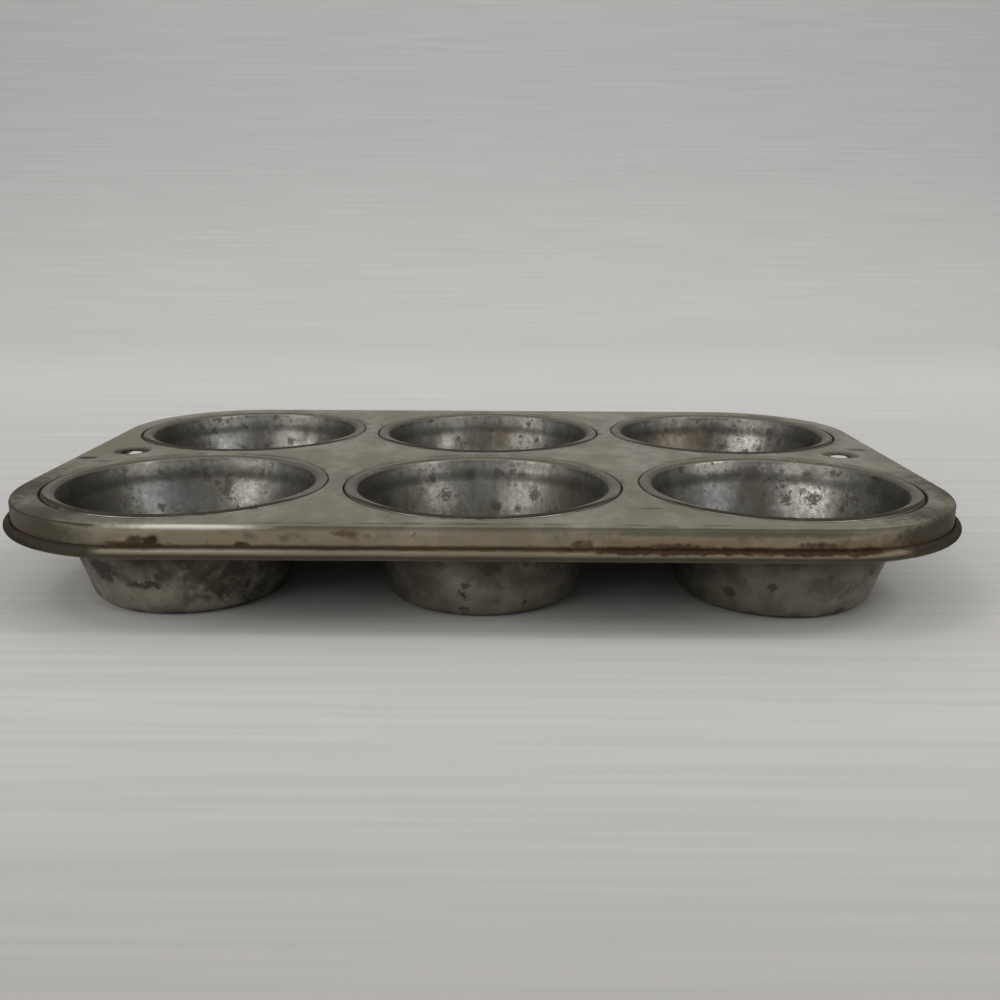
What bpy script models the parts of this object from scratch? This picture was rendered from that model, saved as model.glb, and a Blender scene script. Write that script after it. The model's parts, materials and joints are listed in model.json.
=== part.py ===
"""Six-cup muffin pan: a pressed frame sheet with a wired edge, carrying drawn cups.

Metres, +Z up. The origin is the middle of the pan on the surface that it stands on,
+X runs along the rows of three cups and +Y to the back.
"""

import math

import bmesh
import bpy

MM = 0.001

# Driving dimensions of the layout
COLUMNS = ("left", "middle", "right")
ROWS = ("front", "back")
PAN_HEIGHT = 31.1 * MM
WEB = 5.2 * MM
END_MARGIN = 6.9 * MM
SIDE_MARGIN = 6.6 * MM

# Driving dimensions of the frame sheet
FRAME_SHEET = 0.5 * MM
CORNER_RADIUS = 43.4 * MM
SHOULDER_RADIUS = 1.4 * MM
SKIRT_DROP = 7.35 * MM
BEAD_REACH = 2.05 * MM
WIRE_RADIUS = 0.7 * MM

# Driving dimensions of a cup
CUP_SHEET = 0.45 * MM
MOUTH_RADIUS = 35.8 * MM
LIP_RADIUS = 1.0 * MM
FLANGE_WIDTH = 3.3 * MM
LOCK_DEPTH = 2.2 * MM
LOCK_HEIGHT = 1.8 * MM
LOCK_REACH = 0.85 * MM
NECK_HEIGHT = 5.2 * MM
STEP_HEIGHT = 1.6 * MM
WALL_TOP_RADIUS = 34.8 * MM
FOOT_RADIUS = 26.7 * MM
FOOT_FILLET = 4.6 * MM

# Driving dimensions of the hanging holes
HOLE_RADIUS = 3.5 * MM
HOLE_LAND_RADIUS = 5.3 * MM
HOLE_DISH_RADIUS = 6.3 * MM
HOLE_DISH_DEPTH = 0.5 * MM
HOLE_INSET = 14.9 * MM
HOLE_BACK_SHIFT = 2.0 * MM

# Clearances between pieces that touch on the real pan
SEAT_CLEARANCE = 0.3 * MM
SEAM_GAP = 0.3 * MM
WIRE_CLEARANCE = 0.3 * MM
CURL_GAP = 0.35 * MM

# How finely round shapes are faceted
ROUND_SIDES = 32
HOLE_SIDES = 16
CORNER_STEPS = 8
SHOULDER_STEPS = 3
LIP_STEPS = 3
LOCK_STEPS = 4
FILLET_STEPS = 4
CURL_STEPS = 8
WIRE_BEVEL_RESOLUTION = 2

WELD_DISTANCE = 0.002 * MM
CREASE_ANGLE = 40

# Sizes that follow from the driving dimensions
FLANGE_RADIUS = MOUTH_RADIUS + FLANGE_WIDTH
RECESS_RADIUS = FLANGE_RADIUS + SEAM_GAP
SEAT_HOLE_RADIUS = MOUTH_RADIUS + LIP_RADIUS
CUP_PITCH = 2 * RECESS_RADIUS + WEB
FRAME_HALF_LENGTH = CUP_PITCH * (len(COLUMNS) - 1) / 2 + RECESS_RADIUS + END_MARGIN
FRAME_HALF_WIDTH = CUP_PITCH * (len(ROWS) - 1) / 2 + RECESS_RADIUS + SIDE_MARGIN
PLATE_MIDDLE = PAN_HEIGHT - FRAME_SHEET / 2
CURL_RADIUS = WIRE_RADIUS + WIRE_CLEARANCE + FRAME_SHEET / 2
BEAD_RADIUS = CURL_RADIUS + FRAME_SHEET / 2
WIRE_OFFSET = BEAD_REACH - BEAD_RADIUS
WIRE_HEIGHT = PAN_HEIGHT - SKIRT_DROP
HOLE_CENTRE_X = FRAME_HALF_LENGTH - HOLE_INSET


def clear_scene():
    """Removes every object of the startup scene."""
    for obj in list(bpy.data.objects):
        bpy.data.objects.remove(obj)


def new_collection(name):
    """Makes a collection under the scene's own."""
    collection = bpy.data.collections.new(name)
    bpy.context.scene.collection.children.link(collection)
    return collection


def metal(name, colour, roughness, metallic):
    """A plain metal finish with the colour, roughness and metallic value given."""
    material = bpy.data.materials.new(name)
    material.use_nodes = True
    shader = material.node_tree.nodes["Principled BSDF"]
    shader.inputs["Base Color"].default_value = (*colour, 1.0)
    shader.inputs["Roughness"].default_value = roughness
    shader.inputs["Metallic"].default_value = metallic
    material.diffuse_color = (*colour, 1.0)
    return material


def arc(centre, radius, start, end, steps):
    """Points from one angle to another, in degrees, around a centre."""
    points = []
    for step in range(steps + 1):
        angle = math.radians(start + (end - start) * step / steps)
        points.append((centre[0] + radius * math.cos(angle), centre[1] + radius * math.sin(angle)))
    return points


def rounded_rectangle(half_length, half_width, radius):
    """A closed outline with round corners, around the origin."""
    corners = ((1, 1, 0), (-1, 1, 90), (-1, -1, 180), (1, -1, 270))
    outline = []
    for side_x, side_y, start in corners:
        centre = (side_x * (half_length - radius), side_y * (half_width - radius))
        outline += arc(centre, radius, start, start + 90, CORNER_STEPS)
    return outline


def circle(centre, radius, sides):
    """A closed ring of points that starts at +X, as a Screw does."""
    return arc(centre, radius, 0, 360 * (sides - 1) / sides, sides - 1)


def curve_object(name, loops, cyclic, dimensions="2D"):
    """A curve object of straight-sided splines, linked to no collection yet."""
    curve = bpy.data.curves.new(name, "CURVE")
    curve.dimensions = dimensions
    curve.fill_mode = "NONE" if dimensions == "2D" else "FULL"
    for loop in loops:
        spline = curve.splines.new("POLY")
        spline.points.add(len(loop) - 1)
        for point, (x, y) in zip(spline.points, loop):
            point.co = (x, y, 0.0, 1.0)
        spline.use_cyclic_u = cyclic
    return bpy.data.objects.new(name, curve)


def evaluated_mesh(obj):
    """The mesh that an object's modifiers or curve settings give, and the object's removal."""
    bpy.context.scene.collection.objects.link(obj)
    graph = bpy.context.evaluated_depsgraph_get()
    mesh = bpy.data.meshes.new_from_object(obj.evaluated_get(graph))
    mesh.transform(obj.matrix_world)
    bpy.data.objects.remove(obj)
    return mesh


def solidify_modifier(obj, thickness):
    """Gives an open sheet its thickness, half to each side."""
    solidify = obj.modifiers.new("Sheet", "SOLIDIFY")
    solidify.thickness = thickness
    solidify.offset = 0.0
    solidify.use_even_offset = True
    solidify.use_quality_normals = True


def turned_sheet(name, points, centre, sides):
    """An open turned surface through (radius, height) points, around a vertical axis."""
    profile = bpy.data.meshes.new(name)
    edges = [(index, index + 1) for index in range(len(points) - 1)]
    profile.from_pydata([(radius, 0.0, height) for radius, height in points], edges, [])
    obj = bpy.data.objects.new(name, profile)
    screw = obj.modifiers.new("Turn", "SCREW")
    screw.steps = sides
    screw.render_steps = sides
    screw.use_merge_vertices = True
    screw.merge_threshold = WELD_DISTANCE
    obj.location = (*centre, 0.0)
    return evaluated_mesh(obj)


def joined(name, meshes):
    """One smooth mesh of sheets whose edges meet, creased at their sharp bends."""
    merged = bmesh.new()
    for mesh in meshes:
        merged.from_mesh(mesh)
        bpy.data.meshes.remove(mesh)
    bmesh.ops.remove_doubles(merged, verts=merged.verts, dist=WELD_DISTANCE)
    bmesh.ops.recalc_face_normals(merged, faces=merged.faces)
    result = bpy.data.meshes.new(name)
    merged.to_mesh(result)
    merged.free()
    result.shade_smooth()
    result.set_sharp_from_angle(angle=math.radians(CREASE_ANGLE))
    return result


def cup_places():
    """The name and centre of each cup, row by row from the front left."""
    for row, row_name in enumerate(ROWS):
        for column, column_name in enumerate(COLUMNS):
            x = (column - (len(COLUMNS) - 1) / 2) * CUP_PITCH
            y = (row - (len(ROWS) - 1) / 2) * CUP_PITCH
            yield f"cup_{row_name}_{column_name}", (x, y)


def hole_centres():
    """The middles of the two hanging holes, near the pan's ends."""
    return [(side * HOLE_CENTRE_X, HOLE_BACK_SHIFT) for side in (-1, 1)]


def frame_outline(offset):
    """The frame's outline in plan, moved outwards from the skirt's outer face."""
    return rounded_rectangle(
        FRAME_HALF_LENGTH + offset, FRAME_HALF_WIDTH + offset, CORNER_RADIUS + offset
    )


def rim_section():
    """The middle line of the shoulder, skirt and curl, outwards from the flat plate's edge."""
    bend = SHOULDER_RADIUS - FRAME_SHEET / 2
    points = arc((0.0, PLATE_MIDDLE - bend), bend, 90, 0, SHOULDER_STEPS)
    wire_out = SHOULDER_RADIUS + WIRE_OFFSET
    points.append((bend, WIRE_HEIGHT + CURL_RADIUS))
    free_edge = (CURL_GAP - WIRE_OFFSET) / BEAD_RADIUS
    last_angle = 360 + math.degrees(math.acos(max(-1.0, min(1.0, free_edge))))
    return points + arc((wire_out, WIRE_HEIGHT), CURL_RADIUS, 180, last_angle, CURL_STEPS)


def rim_sheet():
    """The shoulder, skirt and curl, swept round the edge of the flat plate."""
    inwards = [(-out, height) for out, height in rim_section()]
    section = curve_object("rim_section", [inwards], cyclic=False)
    path = curve_object("rim_path", [frame_outline(-SHOULDER_RADIUS)], cyclic=True)
    path.data.bevel_mode = "OBJECT"
    path.data.bevel_object = section
    mesh = evaluated_mesh(path)
    bpy.data.objects.remove(section)
    return mesh


def plate_sheet():
    """The flat plate, open at each cup's recess and at each hanging hole."""
    loops = [frame_outline(-SHOULDER_RADIUS)]
    recess = RECESS_RADIUS + FRAME_SHEET / 2
    loops += [circle(centre, recess, ROUND_SIDES) for _, centre in cup_places()]
    loops += [circle(centre, HOLE_DISH_RADIUS, HOLE_SIDES) for centre in hole_centres()]
    plate = curve_object("plate", loops, cyclic=True)
    plate.data.fill_mode = "FRONT"
    plate.location.z = PLATE_MIDDLE
    return evaluated_mesh(plate)


def seat_profile():
    """The middle line of a cup's seat: down from the plate, then in to the seat's hole."""
    wall = RECESS_RADIUS + FRAME_SHEET / 2
    height = PLATE_MIDDLE - CUP_SHEET - SEAT_CLEARANCE
    return [(wall, PLATE_MIDDLE), (wall, height), (SEAT_HOLE_RADIUS, height)]


def hole_profile():
    """The middle line of the shallow dish pressed round a hanging hole."""
    height = PLATE_MIDDLE - HOLE_DISH_DEPTH
    return [(HOLE_DISH_RADIUS, PLATE_MIDDLE), (HOLE_LAND_RADIUS, height), (HOLE_RADIUS, height)]


def build_frame(material):
    """The frame: plate, cup seats, hanging holes, skirt and curl pressed from one sheet."""
    sheets = [plate_sheet(), rim_sheet()]
    for name, centre in cup_places():
        sheets.append(turned_sheet(f"{name}_seat", seat_profile(), centre, ROUND_SIDES))
    for centre in hole_centres():
        sheets.append(turned_sheet("hanging_hole", hole_profile(), centre, HOLE_SIDES))
    frame = bpy.data.objects.new("pan_frame", joined("pan_frame", sheets))
    solidify_modifier(frame, FRAME_SHEET)
    frame.data.materials.append(material)
    return frame


def build_wire(material):
    """The stiffening wire, one closed ring inside the curl."""
    wire = curve_object("rim_wire", [frame_outline(WIRE_OFFSET)], cyclic=True, dimensions="3D")
    wire.data.bevel_depth = WIRE_RADIUS
    wire.data.bevel_resolution = WIRE_BEVEL_RESOLUTION
    wire.location.z = WIRE_HEIGHT
    wire.data.materials.append(material)
    return wire


def foot_fillet():
    """The centre, middle-line radius and first angle, at the wall, of a cup's rounded foot."""
    half = CUP_SHEET / 2
    wall_height = PAN_HEIGHT - NECK_HEIGHT - STEP_HEIGHT
    slope = math.atan2(WALL_TOP_RADIUS - FOOT_RADIUS, wall_height)
    reach = FOOT_FILLET * math.tan((math.pi / 2 - slope) / 2)
    centre = (FOOT_RADIUS - reach, FOOT_FILLET)
    return centre, FOOT_FILLET - half, -math.degrees(slope)


def lock_bead(neck):
    """The middle line of the bead under the seat that locks a cup in, from its top down."""
    middle = PAN_HEIGHT - LOCK_DEPTH
    points = []
    for step in range(LOCK_STEPS + 1):
        angle = math.pi * step / LOCK_STEPS
        height = middle + LOCK_HEIGHT / 2 * math.cos(angle)
        points.append((neck + LOCK_REACH * math.sin(angle), height))
    return points


def cup_profile():
    """The middle line of a cup's sheet, from the flange's edge in and down to the axis."""
    half = CUP_SHEET / 2
    top = PAN_HEIGHT - half
    neck = MOUTH_RADIUS + half
    lip = LIP_RADIUS - half
    lip_centre = (neck + lip, top - lip)
    points = [(FLANGE_RADIUS, top)] + arc(lip_centre, lip, 90, 180, LIP_STEPS)
    points += lock_bead(neck)
    neck_bottom = PAN_HEIGHT - NECK_HEIGHT
    points.append((neck, neck_bottom))
    centre, radius, wall_angle = foot_fillet()
    wall_half = half / math.cos(math.radians(wall_angle))
    points.append((WALL_TOP_RADIUS - wall_half, neck_bottom - STEP_HEIGHT))
    points += arc(centre, radius, wall_angle, -90, FILLET_STEPS)
    points.append((0.0, half))
    return points


def build_cups(material):
    """The cups, drawn from one sheet each, which share one mesh."""
    sheet = turned_sheet("cup", cup_profile(), (0.0, 0.0), ROUND_SIDES)
    mesh = joined("cup", [sheet])
    mesh.materials.append(material)
    cups = []
    for name, centre in cup_places():
        cup = bpy.data.objects.new(name, mesh)
        cup.location = (*centre, 0.0)
        solidify_modifier(cup, CUP_SHEET)
        cups.append(cup)
    return cups


def main():
    """Builds the pan's pieces in the collection named for it."""
    clear_scene()
    parts = new_collection("muffin_pan")
    frame_tin = metal("frame_tin", (0.21, 0.20, 0.165), 0.42, 0.85)
    cup_tin = metal("cup_tin", (0.27, 0.275, 0.28), 0.34, 0.9)
    wire_steel = metal("wire_steel", (0.12, 0.11, 0.10), 0.5, 0.9)
    pieces = [build_frame(frame_tin), build_wire(wire_steel), *build_cups(cup_tin)]
    for piece in pieces:
        parts.objects.link(piece)


main()
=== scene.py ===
"""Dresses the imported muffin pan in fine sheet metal, worn tinplate and a plain studio.

Everything is in the row frame: metres, +X along the rows of cups, +Y to the back and +Z up,
with the origin under the middle of the pan. Marks and patterns are placed in millimetres.
"""

import json
import logging
import math
from collections.abc import Callable, Iterable, Sequence
from dataclasses import dataclass, field
from enum import Enum
from functools import partial, reduce

import bmesh
import bpy
from mathutils import Matrix, Vector, noise

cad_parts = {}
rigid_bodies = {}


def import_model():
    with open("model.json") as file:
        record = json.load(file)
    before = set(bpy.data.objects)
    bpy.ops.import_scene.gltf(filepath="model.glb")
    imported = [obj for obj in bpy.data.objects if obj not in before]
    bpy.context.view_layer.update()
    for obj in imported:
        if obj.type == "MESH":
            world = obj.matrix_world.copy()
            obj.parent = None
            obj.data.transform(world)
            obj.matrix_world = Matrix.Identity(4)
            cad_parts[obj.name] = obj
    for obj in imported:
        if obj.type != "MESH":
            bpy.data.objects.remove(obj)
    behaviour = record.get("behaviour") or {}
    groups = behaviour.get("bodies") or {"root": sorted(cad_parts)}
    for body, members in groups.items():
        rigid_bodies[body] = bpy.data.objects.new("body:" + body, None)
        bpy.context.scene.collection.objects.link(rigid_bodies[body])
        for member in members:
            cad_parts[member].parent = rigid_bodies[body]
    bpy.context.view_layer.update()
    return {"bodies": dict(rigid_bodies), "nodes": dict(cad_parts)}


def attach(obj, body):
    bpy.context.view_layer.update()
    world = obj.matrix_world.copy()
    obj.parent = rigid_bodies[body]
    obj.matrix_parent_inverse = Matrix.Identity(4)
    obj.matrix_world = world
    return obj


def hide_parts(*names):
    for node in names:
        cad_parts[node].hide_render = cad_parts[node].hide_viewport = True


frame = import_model()

LOG = logging.getLogger("muffin_pan")
MM = 0.001

# Sizes that shapes and stains share, in millimetres
PITCH = 84.0
PLATE = 31.1
FRONT = -88.0

# How close two points are before they are made one
WELD = 0.001 * MM

Point = tuple[float, float]
Place = tuple[float, float, float]
Colour = tuple[float, float, float]
Socket = bpy.types.NodeSocket
Material = bpy.types.Material

NOWHERE: Place = (0.0, 0.0, 0.0)
EVEN: Place = (1.0, 1.0, 1.0)


# Drawing lines and meshes


def arc(centre: Point, radius: float, start: float, end: float, steps: int) -> list[Point]:
    """Points along an arc.

    Args:
        centre: The arc's centre.
        radius: Its radius.
        start: The first angle, in degrees.
        end: The last angle, in degrees.
        steps: How many straight steps the arc has.

    Returns:
        The points, both ends included.
    """
    angles = [math.radians(start + (end - start) * step / steps) for step in range(steps + 1)]
    return [(centre[0] + radius * math.cos(a), centre[1] + radius * math.sin(a)) for a in angles]


def circle(centre: Point, radius: float, sides: int) -> list[Point]:
    """A closed ring of points that starts at +X."""
    return arc(centre, radius, 0.0, 360.0 * (sides - 1) / sides, sides - 1)


def split(first: Point, last: Point, steps: int) -> list[Point]:
    """The points that split a straight line into equal steps, its end but not its start."""
    across, up = last[0] - first[0], last[1] - first[1]
    return [(first[0] + across * k / steps, first[1] + up * k / steps)
            for k in range(1, steps + 1)]


def filleted(corners: Sequence[Place], steps: int) -> list[Point]:
    """An open line through corners, each rounded to its own radius.

    Args:
        corners: For each corner its two coordinates and its radius, 0 for a plain point.
        steps: How many straight steps each rounding has.

    Returns:
        The points of the rounded line.
    """
    line: list[Point] = []
    for index, (x, y, radius) in enumerate(corners):
        here = Vector((x, y))
        if radius == 0.0 or index in (0, len(corners) - 1):
            line.append((x, y))
            continue
        before = (Vector(corners[index - 1][:2]) - here).normalized()
        after = (Vector(corners[index + 1][:2]) - here).normalized()
        half = before.angle(after) / 2
        centre = here + (before + after).normalized() * (radius / math.sin(half))
        reach = radius / math.tan(half)
        first = here + before * reach - centre
        last = here + after * reach - centre
        turn = math.atan2(first.x * last.y - first.y * last.x, first.dot(last))
        base = math.atan2(first.y, first.x)
        line += arc(centre.to_tuple(), radius, math.degrees(base), math.degrees(base + turn), steps)
    return line


def offset_line(line: Sequence[Point], distance: float, closed: bool = False) -> list[Point]:
    """A line beside another one, to the left of its direction.

    Args:
        line: The points of the line to follow.
        distance: How far to the left the new line runs.
        closed: Whether the line's end is joined to its start.

    Returns:
        As many points, moved along the mitre of each bend.
    """
    moved: list[Point] = []
    for index, (x, y) in enumerate(line):
        here = Vector((x, y))
        ways = []
        if closed or index > 0:
            ways.append((here - Vector(line[index - 1])).normalized())
        if closed or index < len(line) - 1:
            ways.append((Vector(line[(index + 1) % len(line)]) - here).normalized())
        lefts = [Vector((-way.y, way.x)) for way in ways]
        mitre = sum(lefts, Vector((0.0, 0.0))).normalized()
        reach = distance / mitre.dot(lefts[0])
        moved.append((x + mitre.x * reach, y + mitre.y * reach))
    return moved


def subdivided(line: Sequence[Point], longest: float) -> list[Point]:
    """A line with points added so that no step is longer than the length given.

    Args:
        line: The points of the line.
        longest: The longest step allowed.

    Returns:
        The points of the same line, with equal steps between two old points.
    """
    result = [line[0]]
    for first, last in zip(line, line[1:]):
        result += split(first, last, max(1, math.ceil(math.dist(first, last) / longest)))
    return result


def flat_curve(name: str, loops: Iterable[Sequence[Point]], cyclic: bool) -> bpy.types.Object:
    """A curve object with a straight-sided spline for each loop.

    Args:
        name: The object's name.
        loops: The points of each spline, in plan.
        cyclic: Whether the splines are closed.

    Returns:
        The object, linked to no collection.
    """
    curve = bpy.data.curves.new(name, "CURVE")
    curve.dimensions = "2D"
    curve.fill_mode = "NONE"
    for loop in loops:
        spline = curve.splines.new("POLY")
        spline.points.add(len(loop) - 1)
        for point, (x, y) in zip(spline.points, loop):
            point.co = (x, y, 0.0, 1.0)
        spline.use_cyclic_u = cyclic
    return bpy.data.objects.new(name, curve)


def line_object(name: str, points: Sequence[Place]) -> bpy.types.Object:
    """An object whose mesh is one open chain of edges through the points.

    Args:
        name: The name of the mesh and the object.
        points: The points in order.

    Returns:
        The object, linked to no collection.
    """
    mesh = bpy.data.meshes.new(name)
    mesh.from_pydata(points, [(i, i + 1) for i in range(len(points) - 1)], [])
    return bpy.data.objects.new(name, mesh)


def evaluated_mesh(obj: bpy.types.Object) -> bpy.types.Mesh:
    """The mesh that an object's modifiers or curve settings give, and the object's removal.

    Args:
        obj: The object, linked to no collection yet.

    Returns:
        The mesh, with the object's place applied.
    """
    bpy.context.scene.collection.objects.link(obj)
    graph = bpy.context.evaluated_depsgraph_get()
    mesh = bpy.data.meshes.new_from_object(obj.evaluated_get(graph))
    mesh.transform(obj.matrix_world)
    bpy.data.objects.remove(obj)
    return mesh


def turned(line: Sequence[Point], centre: Point, sides: int) -> bpy.types.Mesh:
    """An open surface turned around a vertical axis.

    Args:
        line: The radius and height of each point of the profile.
        centre: The axis in plan.
        sides: How many flat sides the turn has.

    Returns:
        The surface as a mesh.
    """
    obj = line_object("profile", [(radius, 0.0, height) for radius, height in line])
    screw = obj.modifiers.new("Turn", "SCREW")
    screw.steps = sides
    screw.render_steps = sides
    screw.use_merge_vertices = True
    screw.merge_threshold = WELD
    obj.location = (*centre, 0.0)
    return evaluated_mesh(obj)


def faced_outwards(merged: bmesh.types.BMesh, weld: float) -> None:
    """Welds a mesh's close vertices and points its faces outwards."""
    bmesh.ops.remove_doubles(merged, verts=merged.verts, dist=weld)
    bmesh.ops.recalc_face_normals(merged, faces=merged.faces)


def closed_outwards(mesh: bpy.types.Mesh) -> bpy.types.Mesh:
    """A closed mesh, welded and with its faces pointing outwards.

    Args:
        mesh: The mesh, which is changed in place.

    Returns:
        The same mesh.
    """
    merged = bmesh.new()
    merged.from_mesh(mesh)
    faced_outwards(merged, WELD)
    merged.to_mesh(mesh)
    merged.free()
    return mesh


def linked(name: str, data: bpy.types.ID) -> bpy.types.Object:
    """An object at the origin with a mesh, a lamp or a camera, linked to the scene.

    Args:
        name: The name of the object and its data.
        data: What the object shows.

    Returns:
        The object.
    """
    data.name = name
    obj = bpy.data.objects.new(name, data)
    bpy.context.scene.collection.objects.link(obj)
    return obj


# Wiring node trees


class Wiring:
    """Adds nodes to one tree and joins them."""

    def __init__(self, tree: bpy.types.NodeTree) -> None:
        """Starts on a tree."""
        self.tree = tree

    def feed(self, target: Socket, value: object) -> None:
        """Joins an input to another node's output, or sets it to a plain value."""
        if isinstance(value, Socket):
            self.tree.links.new(value, target)
        else:
            target.default_value = value

    def node(
        self, kind: str, inputs: dict[object, object] | None = None, **settings: object
    ) -> bpy.types.Node:
        """Adds a node.

        Args:
            kind: The node's type.
            inputs: What feeds its inputs, by their names or numbers.
            **settings: Its plain properties.

        Returns:
            The new node.
        """
        added = self.tree.nodes.new(kind)
        for name, value in settings.items():
            setattr(added, name, value)
        for key, value in (inputs or {}).items():
            self.feed(added.inputs[key], value)
        return added

    def maths(self, operation: str, first: object, second: object = 0.0) -> Socket:
        """The result of a Math node."""
        return self.node("ShaderNodeMath", {0: first, 1: second}, operation=operation).outputs[0]

    def times(self, *values: object) -> Socket:
        """The product of several values."""
        return reduce(partial(self.maths, "MULTIPLY"), values)

    def plus(self, *values: object) -> Socket:
        """The sum of several values."""
        return reduce(partial(self.maths, "ADD"), values)

    def minus(self, first: object, second: object) -> Socket:
        """The difference of two values."""
        return self.maths("SUBTRACT", first, second)

    def most(self, *values: object) -> Socket:
        """The largest of several values."""
        return reduce(partial(self.maths, "MAXIMUM"), values)

    def size(self, value: object) -> Socket:
        """A value without its sign."""
        return self.maths("ABSOLUTE", value)

    def vector(self, operation: str, first: object, second: object = NOWHERE) -> Socket:
        """The vector, or for LENGTH the value, of a Vector Math node."""
        node = self.node("ShaderNodeVectorMath", {0: first, 1: second}, operation=operation)
        return node.outputs["Value" if operation == "LENGTH" else "Vector"]

    def axis(self, vector: object, letter: str) -> Socket:
        """One coordinate of a vector."""
        return self.node("ShaderNodeSeparateXYZ", {0: vector}).outputs[letter]

    def eased(self, value: object, low: object, high: object) -> Socket:
        """0 below low, 1 above high and a smooth rise between; high below low turns it round."""
        return self.node(
            "ShaderNodeMapRange", {"Value": value, "From Min": low, "From Max": high},
            interpolation_type="SMOOTHSTEP").outputs["Result"]

    def noise(self, vector: object, scale: object, detail: object = 2.0) -> Socket:
        """The value of a Noise Texture."""
        return self.node("ShaderNodeTexNoise", {
            "Vector": vector, "Scale": scale, "Detail": detail}).outputs[0]

    def blend(self, share: object, first: object, second: object) -> Socket:
        """A colour between two colours."""
        return self.node(
            "ShaderNodeMix", {0: share, 6: _rgba(first), 7: _rgba(second)},
            data_type="RGBA").outputs[2]

    def between(self, share: object, first: object, second: object) -> Socket:
        """A value between two values."""
        return self.node(
            "ShaderNodeMix", {0: share, 2: first, 3: second}, data_type="FLOAT").outputs[0]

    @staticmethod
    def layered(
        join: Callable[[object, object, object], Socket], start: object,
        coats: Iterable[tuple[object, object]]
    ) -> Socket:
        """A colour or a value with others laid over it in turn.

        Args:
            join: The blend of two colours, or what lies between two values.
            start: The colour or value underneath.
            coats: The share and the colour or value of each coat, from the lowest.

        Returns:
            The colour or value on top.
        """
        return reduce(lambda under, coat: join(coat[0], under, coat[1]), coats, start)


def _rgba(value: object) -> object:
    """A plain colour with its alpha, or the value as it is."""
    return (*value, 1.0) if isinstance(value, tuple) else value


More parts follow.
